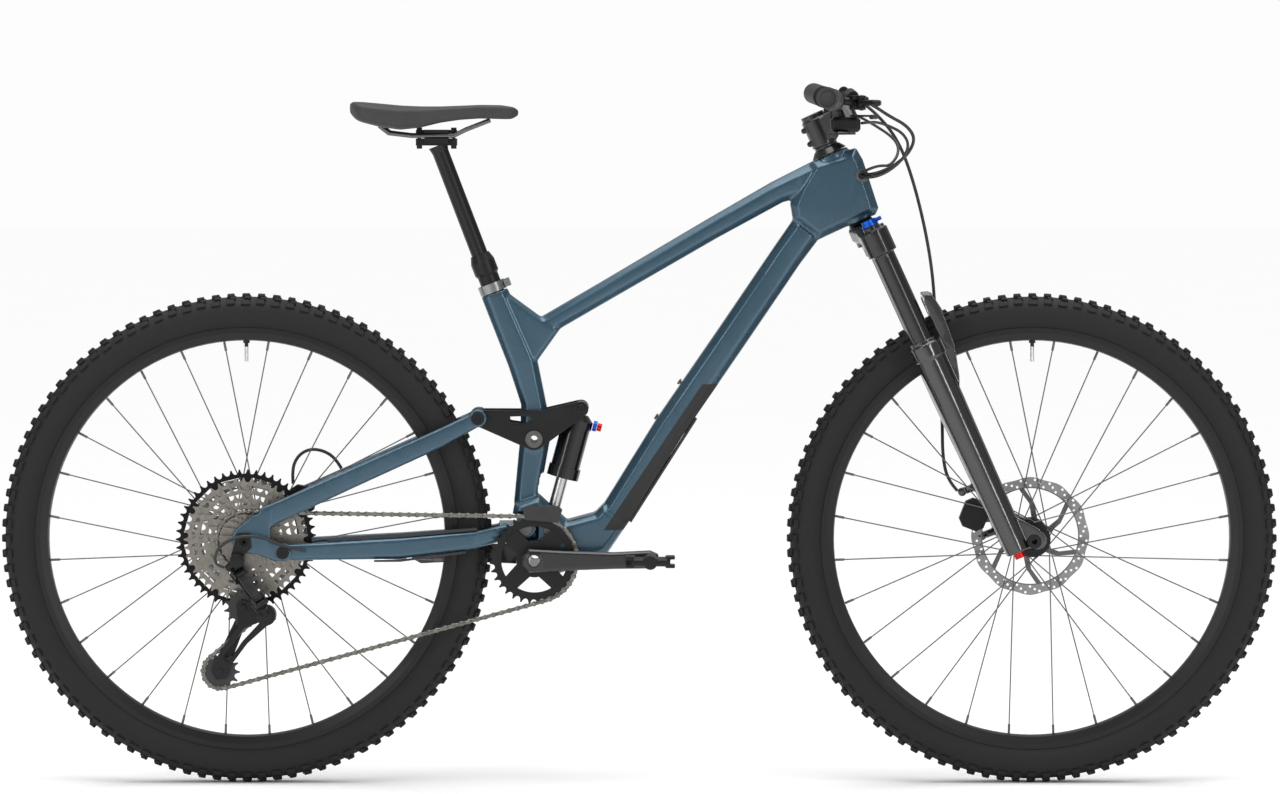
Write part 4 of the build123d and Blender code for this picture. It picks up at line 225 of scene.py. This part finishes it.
def formed(name, source, voxel, rides_on, material, rounds=3, keep=0.4):
    """A smooth moulded, cast or forged skin over a CAD node, with edges softened as a mould leaves them."""
    bpy.ops.object.select_all(action="DESELECT")
    skin = bpy.data.objects.new(name, nodes[source].data.copy())
    bpy.context.scene.collection.objects.link(skin)
    skin.select_set(True)
    bpy.context.view_layer.objects.active = skin
    bpy.ops.object.mode_set(mode="EDIT")
    bpy.ops.mesh.select_all(action="SELECT")
    bpy.ops.mesh.remove_doubles(threshold=0.00002)
    bpy.ops.object.mode_set(mode="OBJECT")
    remesh = skin.modifiers.new("mould", "REMESH")
    remesh.mode, remesh.voxel_size = "VOXEL", voxel
    fair = skin.modifiers.new("fair", "SMOOTH")
    fair.factor, fair.iterations = 0.5, rounds
    thin = skin.modifiers.new("thin", "DECIMATE")
    thin.ratio = keep
    for step in ("mould", "fair", "thin"):
        bpy.ops.object.modifier_apply(modifier=step)
    bpy.ops.object.shade_smooth_by_angle(angle=radians(50.0))
    skin.data.materials.clear()
    skin.data.materials.append(material)
    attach(skin, rides_on)
    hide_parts(source)
    return skin


formed("front_triangle_shell", "front_triangle", 0.0022, "frame", frame_paint)
formed("chainstay_shell", "chainstay", 0.0018, "chainstay", frame_paint)
formed("seatstay_shell", "seatstay", 0.0018, "seatstay", frame_paint)


# ---- black parts of the frame --------------------------------------------------------------------------------
# Rubber guards on the down tube and the drive-side stay, the moulded chain guide, and the machined linkage and
# bearing parts, which are black anodised aluminium with a fine satin grain.
satin = Finish("black_anodised")
grain = satin.noise(900.0, 2.0)
smudge = satin.noise(22.0, 3.0)
black_alloy = satin.done(
    Base_Color=satin.mix(smudge, (0.008, 0.008, 0.009, 1), (0.017, 0.017, 0.018, 1)), Metallic=0.55,
    Roughness=0.30 + grain * 0.12 + smudge * 0.06, Normal=satin.bump(grain, 0.00003, 0.3))
wear(black_alloy, "bearing_cups", "stay_hardware", "dropper_lower_tube", "dropper_post", "front_hub", "rear_hub",
     "front_axle")
formed("rocker_link_forging", "rocker_link", 0.0009, "rocker", black_alloy)

moulded = Finish("moulded_rubber")
pebble = moulded.add("TexVoronoi", links={"Vector": moulded.place, "Scale": 1400.0})
dust = moulded.noise(30.0, 4.0)
guard_rubber = moulded.done(
    Base_Color=moulded.mix(dust, (0.016, 0.016, 0.017, 1), (0.034, 0.033, 0.032, 1)), Roughness=0.62 + dust * 0.16,
    Normal=moulded.bump(pebble, 0.00012, 0.5))
wear(guard_rubber, "down_tube_guard", "chainstay_guard")

nylon = Finish("black_nylon")
nylon_grain = nylon.noise(1500.0, 2.0)
black_nylon = nylon.done(
    Base_Color=nylon.mix(nylon.noise(40.0), (0.014, 0.014, 0.015, 1), (0.030, 0.030, 0.031, 1)),
    Roughness=0.42 + nylon_grain * 0.18, Normal=nylon.bump(nylon_grain, 0.00005, 0.4))
wear(black_nylon, "shift_lever", "release_lever", "guide_pulley", "tension_pulley")
formed("chain_guide_moulding", "chain_guide", 0.0008, "frame", black_nylon)


# ---- seat clamp ----------------------------------------------------------------------------------------------
# A turned aluminium band, grey anodised, with the fine rings that the lathe leaves.
grey = Finish("grey_anodised")
turning = grey.axes()[2]
rings = turning.math("SINE", turning * 9000.0)
clamp_grey = grey.done(
    Base_Color=grey.mix(grey.noise(60.0), (0.20, 0.205, 0.21, 1), (0.30, 0.305, 0.31, 1)), Metallic=0.9,
    Roughness=0.30 + rings * 0.05, Normal=grey.bump(rings, 0.00002, 0.4))
wear(clamp_grey, "seat_clamp")


# ---- bolts and rails -----------------------------------------------------------------------------------------
# Small zinc-plated screws, the steel shock shaft and the saddle's rails: bright drawn steel, a little stained.
drawn = Finish("drawn_steel")
stain = drawn.noise(120.0, 4.0)
steel = drawn.done(
    Base_Color=drawn.mix(stain, (0.42, 0.42, 0.41, 1), (0.58, 0.58, 0.57, 1)), Metallic=1.0,
    Roughness=0.22 + stain * 0.18, Normal=drawn.bump(drawn.noise(2200.0, 2.0), 0.00002, 0.3))
wear(steel, "shock_shaft")
smoked = Finish("smoked_steel")
soot = smoked.noise(80.0, 4.0)
dark_steel = smoked.done(
    Base_Color=smoked.mix(soot, (0.10, 0.10, 0.10, 1), (0.18, 0.175, 0.17, 1)), Metallic=1.0,
    Roughness=0.30 + soot * 0.15, Normal=smoked.bump(smoked.noise(1800.0, 2.0), 0.00002, 0.3))
wear(dark_steel, "saddle_rails", "front_spokes", "rear_spokes", "frame_hardware")


# ---- shock ---------------------------------------------------------------------------------------------------
# The air can is hard anodised black, polished along its length, with a blue compression lever and a red rebound
# dial on its head.
can = Finish("hard_anodised")
brushed = can.noise(1600.0, 1.0, can.add("Mapping", links={"Vector": can.place, "Scale": (1.0, 1.0, 0.05)}))
can_black = can.done(
    Base_Color=can.mix(brushed, (0.010, 0.010, 0.011, 1), (0.022, 0.022, 0.023, 1)), Metallic=0.7,
    Roughness=0.16 + brushed * 0.12, Coat_Weight=0.3, Normal=can.bump(brushed, 0.00002, 0.25))
wear(can_black, "shock_body")


def anodised(name, dark, bright):
    """A bright dyed anodised finish with a light machined grain."""
    dye = Finish(name)
    cut = dye.noise(1700.0, 2.0)
    return dye.done(Base_Color=dye.mix(cut, dark, bright), Metallic=0.92, Roughness=0.24 + cut * 0.14,
                    Normal=dye.bump(cut, 0.00003, 0.35))


blue_dial = anodised("blue_anodised", (0.010, 0.070, 0.42, 1), (0.020, 0.120, 0.62, 1))
red_dial = anodised("red_anodised", (0.40, 0.012, 0.012, 1), (0.62, 0.030, 0.025, 1))
wear(blue_dial, "shock_lever", "damper_knob")
wear(red_dial, "shock_rebound_knob", "rebound_knob")


# ---- fork ----------------------------------------------------------------------------------------------------
# Cast magnesium lowers under deep gloss black paint, a forged crown, and stanchions with a smooth black coating.
lacquer = Finish("gloss_black_paint")
orange_peel = lacquer.noise(160.0, 2.0)
gloss_black = lacquer.done(
    Base_Color=lacquer.mix(lacquer.noise(9.0), (0.004, 0.004, 0.005, 1), (0.010, 0.010, 0.011, 1)), Roughness=0.22,
    Coat_Weight=1.0, Coat_Roughness=0.05, Normal=lacquer.bump(orange_peel, 0.00004, 0.15))
formed("fork_lowers_casting", "fork_lowers", 0.0014, "fork_lowers", gloss_black, 4, 0.3)
crown = Finish("crown_and_stanchions")
crown_grain = crown.noise(700.0, 2.0)
crown_black = crown.done(
    Base_Color=crown.mix(crown_grain, (0.010, 0.010, 0.011, 1), (0.020, 0.020, 0.021, 1)), Metallic=0.5,
    Roughness=0.20 + crown_grain * 0.08, Coat_Weight=0.5, Coat_Roughness=0.08)
formed("fork_crown_and_legs", "fork_uppers", 0.0013, "steering", crown_black, 3, 0.3)


# ---- rims ----------------------------------------------------------------------------------------------------
# Welded aluminium box rims, black anodised, with a satin sheen. Each has a nickel-plated tubeless valve at its top.
def rim_finish(name, centre):
    """Satin black for the hoop, and bright nickel for the valve that stands inside it."""
    hoop = Finish(name)
    moved = hoop.add("Mapping", links={"Vector": hoop.place, "Location": (-centre[0], 0.0, -centre[2]),
                                       "Scale": (1.0, 0.0, 1.0)})
    radius = hoop.add("VectorMath", {"operation": "LENGTH"}, {0: moved}, out=1)
    hoop_grain = hoop.noise(500.0, 3.0)
    valve = radius < 0.2905
    black = hoop.mix(hoop_grain, (0.007, 0.007, 0.008, 1), (0.016, 0.016, 0.017, 1))
    return hoop.done(
        Base_Color=hoop.mix(valve, black, (0.62, 0.62, 0.60, 1)), Metallic=0.45 + valve * 0.5,
        Roughness=0.34 + hoop_grain * 0.12 - valve * 0.1, Normal=hoop.bump(hoop_grain, 0.00003, 0.3))


wear(rim_finish("front_rim_black", (0.595, 0.0, 0.371)), "front_rim")
wear(rim_finish("rear_rim_black", (-0.595, 0.0, 0.371)), "rear_rim")


# ---- discs ---------------------------------------------------------------------------------------------------
# Stainless brake discs. The band that the pads sweep is scuffed in fine circles, and the arms are ground.
def disc_steel(name, centre):
    """Ground steel with circular scuffs about one wheel's axle."""
    ground = Finish(name)
    moved = ground.add("Mapping", links={"Vector": ground.place, "Location": (-centre[0], 0.0, -centre[2]),
                                         "Scale": (1.0, 0.0, 1.0)})
    length = ground.add("VectorMath", {"operation": "LENGTH"}, {0: moved}, out=1)
    scuff = ground.noise(1.0, 2.0, ground.add("CombineXYZ", links={"X": length * 2600.0}))
    swept = (length > 0.0745) * 1.0
    return ground.done(
        Base_Color=ground.mix(swept, (0.13, 0.13, 0.135, 1), (0.28, 0.28, 0.285, 1)), Metallic=1.0,
        Roughness=0.26 + scuff * 0.22, Normal=ground.bump(scuff, 0.00003, 0.4))


wear(disc_steel("front_disc_steel", (0.595, 0.0, 0.371)), "front_rotor")
wear(disc_steel("rear_disc_steel", (-0.595, 0.0, 0.371)), "rear_rotor")


# ---- tyres ---------------------------------------------------------------------------------------------------
# Tubeless trail tyres: a woven casing with smooth sidewalls, moulded in one with rows of rubber blocks, paired on
# the crown and leaning outwards on the shoulders for grip in corners.
rubber = Finish("tyre_rubber")
bloom = rubber.noise(25.0, 4.0)
tyre_rubber = rubber.done(
    Base_Color=rubber.mix(bloom, (0.006, 0.006, 0.007, 1), (0.014, 0.014, 0.014, 1)), Roughness=0.62 + bloom * 0.2,
    Specular_IOR_Level=0.35,
    Normal=rubber.bump(rubber.noise(1200.0, 3.0), 0.00012, 0.4))
TREAD_ROWS = 100


def section_point(radius, across):
    """A point of the tyre's section at the top of the wheel, in metres from its centre."""
    return Vector((0.0, across / 1000, radius / 1000))


def knob(length, width, height, across, top, lean, row):
    """One rubber block of the tread, added in edit mode at the top of a wheel that stands on the origin."""
    angle = row * 2 * pi / TREAD_ROWS
    middle = section_point(top - height / 2 * cos(lean), across - height / 2 * sin(lean))
    turn = Matrix.Rotation(angle, 4, "Y")
    facing = (turn @ Matrix.Rotation(-lean, 4, "X")).to_euler()
    bpy.ops.mesh.primitive_cube_add(size=1.0, location=turn @ middle, rotation=facing,
                                    scale=(length / 1000, width / 1000, height / 1000))
    mesh = bmesh.from_edit_mesh(bpy.context.edit_object.data)
    crown_line = sum((v.co.length for v in mesh.verts if v.select), 0.0) / 8
    upper = [v for v in mesh.verts if v.select and v.co.length > crown_line]
    centre_top = sum((v.co for v in upper), Vector()) / len(upper)
    for v in upper:
        v.co = centre_top + (v.co - centre_top) * 0.84
    bpy.ops.mesh.bevel(offset=0.0007, segments=1, affect="EDGES")


casing_section = (
    (316.4, 14.6), (321.0, 17.6), (327.0, 23.2), (335.0, 27.2), (344.0, 28.4), (351.0, 26.4), (357.5, 21.5),
    (362.5, 14.5), (365.6, 7.0), (366.4, 0.0), (365.6, -7.0), (362.5, -14.5), (357.5, -21.5), (351.0, -26.4),
    (344.0, -28.4),
    (335.0, -27.2), (327.0, -23.2), (321.0, -17.6), (316.4, -14.6), (316.4, -11.6), (324.0, -15.5), (334.0, -22.0),
    (345.0, -24.0), (356.0, -17.0), (362.0, 0.0), (356.0, 17.0), (345.0, 24.0), (334.0, 22.0), (324.0, 15.5),
    (316.4, 11.6),
)
for name, centre, rides_on, stands_for in (
        ("front_tyre_tread", (0.595, 0.0, 0.371), "front_wheel", "front_tyre"),
        ("rear_tyre_tread", (-0.595, 0.0, 0.371), "rear_wheel", "rear_tyre")):
    bpy.ops.object.select_all(action="DESELECT")
    bpy.ops.mesh.primitive_circle_add(vertices=len(casing_section), radius=0.03)
    casing = bpy.context.object
    casing.name = name
    for vertex, (radius, across) in zip(casing.data.vertices, casing_section):
        vertex.co = section_point(radius, across)
    bpy.ops.object.mode_set(mode="EDIT")
    bpy.ops.mesh.select_all(action="SELECT")
    bpy.ops.mesh.spin(steps=144, angle=2 * pi, center=(0.0, 0.0, 0.0), axis=(0.0, 1.0, 0.0))
    bpy.ops.mesh.select_all(action="SELECT")
    bpy.ops.mesh.remove_doubles(threshold=0.00005)
    bpy.ops.mesh.normals_make_consistent(inside=False)
    bpy.ops.object.mode_set(mode="OBJECT")
    bpy.ops.object.shade_smooth()

    bpy.ops.object.select_all(action="DESELECT")
    bpy.ops.mesh.primitive_cube_add(size=0.001)
    tread = bpy.context.object
    bpy.ops.object.mode_set(mode="EDIT")
    bpy.ops.mesh.delete(type="VERT")
    blocks = (
        (13.0, 8.8, 7.0, 5.6, 370.9, 0.20, 0.0), (10.0, 6.5, 6.0, 15.0, 367.0, 0.55, 0.12),
        (14.0, 8.4, 7.0, 24.0, 359.6, 0.92, 0.0), (12.0, 9.6, 7.0, 7.6, 370.5, 0.28, 1.0),
        (9.0, 6.0, 6.0, 16.2, 366.2, 0.60, 1.15), (13.0, 8.8, 7.0, 23.2, 361.0, 0.86, 1.0),
    )
    for length, width, height, across, top, lean, row in blocks:
        for side in (1, -1):
            bpy.ops.mesh.select_all(action="DESELECT")
            knob(length, width, height, across * side, top, lean * side, row)
    bpy.ops.mesh.select_all(action="SELECT")
    bpy.ops.mesh.spin(steps=TREAD_ROWS // 2, angle=2 * pi, dupli=True, center=(0.0, 0.0, 0.0),
                      axis=(0.0, 1.0, 0.0))
    bpy.ops.mesh.select_all(action="SELECT")
    bpy.ops.mesh.remove_doubles(threshold=0.00005)
    bpy.ops.object.mode_set(mode="OBJECT")
    casing.select_set(True)
    bpy.context.view_layer.objects.active = casing
    bpy.ops.object.join()
    casing.location = centre
    bpy.ops.object.transform_apply(location=True, rotation=True, scale=True)
    casing.data.materials.clear()
    casing.data.materials.append(tyre_rubber)
    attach(casing, rides_on)
    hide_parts(stands_for)


# ---- cockpit -------------------------------------------------------------------------------------------------
# A carbon bar under satin lacquer, a machined stem, and lock-on grips of soft rubber with a raised lattice.
weave = Finish("satin_carbon")
fibre = weave.noise(1.0, 2.0, weave.add("Mapping", links={"Vector": weave.place, "Scale": (900.0, 60.0, 900.0)}))
bar_black = weave.done(
    Base_Color=weave.mix(fibre, (0.010, 0.010, 0.011, 1), (0.022, 0.022, 0.023, 1)), Roughness=0.36 + fibre * 0.1,
    Coat_Weight=0.35, Coat_Roughness=0.25)
wear(bar_black, "handlebar")
formed("stem_block", "stem", 0.0009, "steering", crown_black)
formed("lever_clamps_and_cases", "control_bodies", 0.0009, "steering", black_alloy)
formed("brake_blade_left", "brake_lever_left", 0.0007, "brake_lever_left", black_alloy)
formed("brake_blade_right", "brake_lever_right", 0.0007, "brake_lever_right", black_alloy)
formed("dropper_paddle", "dropper_lever", 0.0006, "dropper_lever", black_alloy)
soft = Finish("grip_rubber")
lattice = soft.add("TexVoronoi", {"feature": "DISTANCE_TO_EDGE"}, {"Vector": soft.place, "Scale": 240.0})
grip_rubber = soft.done(
    Base_Color=soft.mix(soft.noise(35.0), (0.012, 0.012, 0.013, 1), (0.026, 0.026, 0.026, 1)), Roughness=0.66,
    Normal=soft.bump(lattice, 0.0006, 0.7))
wear(grip_rubber, "grips")
for side, name in ((1, "bar_plug_left"), (-1, "bar_plug_right")):
    bpy.ops.object.select_all(action="DESELECT")
    bpy.ops.mesh.primitive_cylinder_add(vertices=40, radius=0.0158, depth=0.0034,
                                        location=(0.2734, side * 0.3880, 1.0413), rotation=(pi / 2, 0.0, 0.0))
    plug = bpy.context.object
    plug.name = name
    bpy.ops.object.transform_apply(location=True, rotation=True, scale=True)
    bpy.ops.object.mode_set(mode="EDIT")
    bpy.ops.mesh.select_all(action="DESELECT")
    mesh = bmesh.from_edit_mesh(plug.data)
    outer = max(mesh.faces, key=lambda f: f.calc_center_median().y * side)
    outer.select = True
    bmesh.update_edit_mesh(plug.data)
    bpy.ops.mesh.inset(thickness=0.0030, depth=0.0)
    bpy.ops.mesh.inset(thickness=0.0012, depth=-0.0009)
    bpy.ops.object.mode_set(mode="OBJECT")
    rounding = plug.modifiers.new("rounding", "BEVEL")
    rounding.width, rounding.segments, rounding.limit_method = 0.0006, 2, "ANGLE"
    bpy.ops.object.modifier_apply(modifier="rounding")
    bpy.ops.object.shade_smooth_by_angle(angle=radians(40.0))
    plug.data.materials.append(black_nylon)
    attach(plug, "steering")


# ---- drivetrain ----------------------------------------------------------------------------------------------
# Forged black crank arms and pedals, a stamped steel cassette whose largest cog is black aluminium, and a steel
# chain, dark with oil between its plates.
plated = Finish("cog_steel")
across = plated.axes()[1]
oil = plated.noise(140.0, 4.0)
cog_colour = plated.mix(oil, (0.15, 0.138, 0.122, 1), (0.32, 0.30, 0.27, 1))
cog_colour = plated.mix(across > -0.0322, cog_colour, (0.016, 0.016, 0.017, 1))
cog_steel = plated.done(Base_Color=cog_colour, Metallic=0.95, Roughness=0.26 + oil * 0.2,
                        Normal=plated.bump(plated.noise(900.0, 2.0), 0.00003, 0.3))
wear(cog_steel, "cassette")
wear(black_alloy, "chainring")
formed("crank_forgings", "crank_arms", 0.0009, "crankset", crown_black, 4)
formed("pedal_right_body", "pedal_right", 0.0008, "pedal_right", black_alloy)
formed("pedal_left_body", "pedal_left", 0.0008, "pedal_left", black_alloy)
formed("front_caliper_body", "front_caliper", 0.0008, "fork_lowers", black_alloy)
formed("rear_caliper_body", "rear_caliper", 0.0008, "seatstay", black_alloy)
formed("derailleur_mount", "derailleur_knuckle", 0.0006, "seatstay", black_alloy)
formed("derailleur_inner_link", "inner_link", 0.0006, "inner_link", black_alloy)
formed("derailleur_outer_link", "outer_link", 0.0006, "outer_link", black_alloy)
formed("derailleur_clutch_block", "cage_knuckle", 0.0007, "cage_knuckle", black_alloy)
formed("derailleur_cage_plates", "derailleur_cage", 0.0006, "derailleur_cage", black_alloy)
link = Finish("chain_steel")
grease = link.noise(160.0, 4.0)
chain_steel = link.done(
    Base_Color=link.mix(grease, (0.10, 0.092, 0.080, 1), (0.27, 0.26, 0.24, 1)), Metallic=0.95,
    Roughness=0.25 + grease * 0.3)


def chain_stretch(name, inside, rides_on, blend=None):
    """The links of the chain whose middles lie inside one region, as a piece of their own."""
    stretch = bpy.data.objects.new(name, nodes["chain"].data.copy())
    bpy.context.scene.collection.objects.link(stretch)
    bpy.ops.object.select_all(action="DESELECT")
    stretch.select_set(True)
    bpy.context.view_layer.objects.active = stretch
    bpy.ops.object.mode_set(mode="EDIT")
    bpy.ops.mesh.select_all(action="SELECT")
    bpy.ops.mesh.remove_doubles(threshold=0.00001)
    mesh = bmesh.from_edit_mesh(stretch.data)
    waiting = set(mesh.verts)
    for v in mesh.verts:
        v.select = False
    while waiting:
        link_verts, front = set(), [waiting.pop()]
        while front:
            v = front.pop()
            link_verts.add(v)
            for edge in v.link_edges:
                other = edge.other_vert(v)
                if other in waiting:
                    waiting.discard(other)
                    front.append(other)
        middle = sum((v.co for v in link_verts), Vector()) / len(link_verts)
        if not inside(middle.x, middle.z):
            for v in link_verts:
                v.select = True
    bmesh.update_edit_mesh(stretch.data)
    bpy.ops.mesh.delete(type="VERT")
    bpy.ops.object.mode_set(mode="OBJECT")
    bpy.ops.object.shade_smooth_by_angle(angle=radians(40.0))
    stretch.data.materials.clear()
    stretch.data.materials.append(chain_steel)
    if blend:
        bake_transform(stretch)
    else:
        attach(stretch, rides_on)
    return stretch


def below(x, z):
    """True for what belongs to the run that comes back from the tension pulley to the chainring."""
    return z < 0.277 + 0.277 * (x + 0.16) + 0.015 and x > -0.618


ring_links = chain_stretch("chain_on_ring", lambda x, z: x > -0.21, "frame")
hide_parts("chain")
chain_stretch("chain_upper_run", lambda x, z: -0.575 < x <= -0.21 and z > 0.385, "chainstay",
              ((-0.24, 0, 0.40), (-0.56, 0, 0.40)))
chain_stretch("chain_lower_run", lambda x, z: x <= -0.21 and below(x, z), "chainstay",
              ((-0.24, 0, 0.27), (-0.58, 0, 0.17)))
chain_stretch("chain_on_cog", lambda x, z: x <= -0.21 and z >= 0.31 and not (x > -0.575 and z > 0.385)
              and not below(x, z), "seatstay")
chain_stretch("chain_on_pulleys", lambda x, z: x <= -0.21 and z < 0.31 and not below(x, z), "derailleur_cage")


# ---- saddle --------------------------------------------------------------------------------------------------
# Firm foam on a plastic shell under a stretched synthetic cover, bonded at its lower edge, with a shallow relief
# channel along the middle and a fine matt leather grain.
hide = Finish("saddle_cover")
wrinkle = hide.add("TexVoronoi", links={"Vector": hide.place, "Scale": 700.0})
cover_black = hide.done(
    Base_Color=hide.mix(hide.noise(18.0, 3.0), (0.020, 0.020, 0.021, 1), (0.036, 0.036, 0.037, 1)), Roughness=0.6,
    Normal=hide.bump(wrinkle, 0.0002, 0.6))
saddle_form = (
    (-0.4405, 0.030, 1.0290, 1.0125), (-0.4340, 0.058, 1.0320, 1.0065), (-0.4180, 0.069, 1.0315, 0.9990),
    (-0.3900, 0.0715, 1.0290, 0.9915), (-0.3600, 0.066, 1.0262, 0.9870), (-0.3300, 0.053, 1.0250, 0.9905),
    (-0.3000, 0.039, 1.0250, 0.9985), (-0.2700, 0.028, 1.0262, 1.0030), (-0.2400, 0.0225, 1.0275, 1.0050),
    (-0.2100, 0.0195, 1.0270, 1.0040), (-0.1900, 0.0155, 1.0240, 1.0040), (-0.1800, 0.0080, 1.0180, 1.0090),
)


def along_saddle(x):
    """Half width, top height and height of the skirt's edge at one place along the saddle."""
    for first, second in zip(saddle_form, saddle_form[1:]):
        if x <= second[0]:
            share = max(0.0, (x - first[0]) / (second[0] - first[0]))
            return [before + (after - before) * share for before, after in zip(first[1:], second[1:])]
    return saddle_form[-1][1:]


bpy.ops.object.select_all(action="DESELECT")
bpy.ops.mesh.primitive_uv_sphere_add(segments=64, ring_count=72, radius=1.0, rotation=(0.0, pi / 2, 0.0))
saddle = bpy.context.object
saddle.name = "saddle_padding"
bpy.ops.object.transform_apply(location=True, rotation=True, scale=True)
for vertex in saddle.data.vertices:
    length, round_y, round_z = vertex.co
    across = hypot(round_y, round_z)
    lengthwise = atan2(length, across) / (pi / 2)
    x = -0.3102 + 0.1302 * lengthwise
    half, top, edge = along_saddle(x)
    end = min(1.0, (1.0 - abs(lengthwise)) * 9.0) ** 0.5
    rise = round_z / across if across > 1e-6 else 0.0
    side = round_y / across if across > 1e-6 else 0.0
    y = half * end * abs(side) ** 0.62 * (1 if side >= 0 else -1) * (1.0 - 0.10 * max(0.0, -rise))
    skirt = edge + (top - edge) * (1 - end) * 0.5
    waist = top - (top - edge) * 0.45
    if rise >= 0:
        z = waist + (top - waist) * rise ** 0.42
    else:
        z = waist - (waist - skirt) * abs(rise) ** 0.34
    if rise < -0.72:
        z += (0.006 + (waist - edge) * 0.45) * ((-rise - 0.72) / 0.28) ** 0.7
    if rise >= 0 and -0.425 < x < -0.215:
        z -= 0.0022 * max(0.0, 1.0 - (y / 0.0075) ** 2) * min(1.0, (x + 0.425) / 0.02, (-0.215 - x) / 0.02)
    vertex.co = (x, y, z)
bpy.ops.object.mode_set(mode="EDIT")
bpy.ops.mesh.select_all(action="SELECT")
bpy.ops.mesh.remove_doubles(threshold=0.00005)
bpy.ops.mesh.normals_make_consistent(inside=False)
bpy.ops.mesh.vertices_smooth(factor=0.5, repeat=2)
bpy.ops.object.mode_set(mode="OBJECT")
bpy.ops.object.shade_smooth()
saddle.data.materials.clear()
saddle.data.materials.append(cover_black)
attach(saddle, "seatpost")
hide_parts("saddle")


# ---- hoses ---------------------------------------------------------------------------------------------------
# Black brake hoses and gear housings: they leave the levers in loose loops, run into the head tube's ports, down
# the fork leg, and out of the stays to the derailleur and the rear caliper.
jacket = Finish("hose_jacket")
hose_black = jacket.done(
    Base_Color=jacket.mix(jacket.noise(60.0), (0.010, 0.010, 0.011, 1), (0.020, 0.020, 0.021, 1)), Roughness=0.38,
    Normal=jacket.bump(jacket.noise(1400.0, 2.0), 0.00003, 0.3))


def hose(name, route, radius):
    """One hose or gear housing along its route, given in millimetres, as a smooth round tube."""
    line = bpy.data.curves.new(name, "CURVE")
    line.dimensions = "3D"
    spline = line.splines.new("NURBS")
    spline.points.add(len(route) - 1)
    for point, place in zip(spline.points, route):
        point.co = (place[0] / 1000, place[1] / 1000, place[2] / 1000, 1.0)
    spline.order_u = 3
    spline.use_endpoint_u = True
    line.resolution_u = 10
    line.bevel_depth, line.bevel_resolution = radius, 4
    line.use_fill_caps = True
    piece = bpy.data.objects.new(name, line)
    bpy.context.scene.collection.objects.link(piece)
    bpy.ops.object.select_all(action="DESELECT")
    piece.select_set(True)
    bpy.context.view_layer.objects.active = piece
    bpy.ops.object.convert(target="MESH")
    bpy.ops.object.shade_smooth()
    piece = bpy.context.object
    piece.data.materials.clear()
    piece.data.materials.append(hose_black)
    return piece


front_brake_hose = hose("front_brake_hose", (
    (313.5, 139.8, 1038.6), (325.0, 121.0, 1039.0), (345.0, 104.0, 1027.0), (369.0, 96.0, 1005.0),
    (389.0, 92.0, 980.0),
    (405.0, 90.0, 948.0), (421.0, 89.0, 899.0), (436.0, 91.0, 838.0), (447.0, 95.0, 776.0), (452.0, 98.0, 715.0),
    (455.0, 98.5, 655.0), (461.0, 96.0, 596.0), (463.0, 88.0, 540.0), (463.0, 76.0, 490.0), (470.0, 60.0, 455.0),
    (484.0, 47.0, 440.0)
), 0.0025)
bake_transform(front_brake_hose)
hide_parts("cockpit_cables")
rear_brake_hose = hose("rear_brake_hose", (
    (313.5, -139.8, 1038.6), (329.0, -124.0, 1038.0), (351.0, -111.0, 1027.0), (375.0, -101.0, 1011.0),
    (400.0, -92.0, 998.0), (414.0, -83.0, 979.0), (406.0, -73.0, 957.0), (387.0, -65.0, 939.0),
    (366.0, -60.0, 928.0),
    (348.0, -53.0, 923.0), (338.5, -38.0, 922.6)
), 0.0025)
shift_housing = hose("shift_housing", (
    (330.5, -184.0, 1002.0), (343.0, -166.0, 1003.0), (354.0, -141.0, 1003.0), (371.0, -116.0, 998.0),
    (394.0, -100.0, 987.0), (405.0, -88.0, 969.0), (397.0, -77.0, 948.0), (379.0, -68.0, 931.0),
    (360.0, -61.5, 921.0),
    (343.0, -52.5, 918.0), (333.8, -38.0, 919.8)
), 0.0022)
dropper_housing = hose("dropper_housing", (
    (311.5, 170.0, 1015.0), (328.0, 149.0, 1012.0), (346.0, 117.0, 1003.0), (364.0, 77.0, 992.0),
    (380.0, 33.0, 981.0), (391.0, -10.0, 968.0), (390.0, -42.0, 952.0), (377.0, -58.0, 936.0),
    (361.0, -62.0, 937.0), (343.0, -54.0, 930.5), (333.8, -38.0, 925.0)
), 0.0022)
for housing in (rear_brake_hose, shift_housing, dropper_housing):
    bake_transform(housing)
gear_loop = hose("gear_loop", (
    (-503.0, -76.0, 357.0), (-520.0, -85.0, 360.0), (-540.0, -94.0, 368.0), (-562.0, -101.0, 378.0),
    (-586.0, -105.0, 382.0), (-609.0, -105.0, 379.0), (-630.0, -102.0, 366.0), (-639.0, -98.0, 349.0),
    (-635.5, -94.5, 336.0), (-623.9, -93.2, 333.1)
), 0.0022)
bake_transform(gear_loop)
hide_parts("rear_cables")
caliper_hose = hose("caliper_hose", (
    (-454.2, 61.0, 472.6), (-463.0, 61.0, 488.0), (-481.0, 61.0, 500.0), (-503.0, 60.0, 503.0),
    (-521.0, 58.0, 492.0), (-529.5, 56.0, 471.0), (-527.6, 54.0, 449.5)
), 0.0025)
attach(caliper_hose, "seatstay")
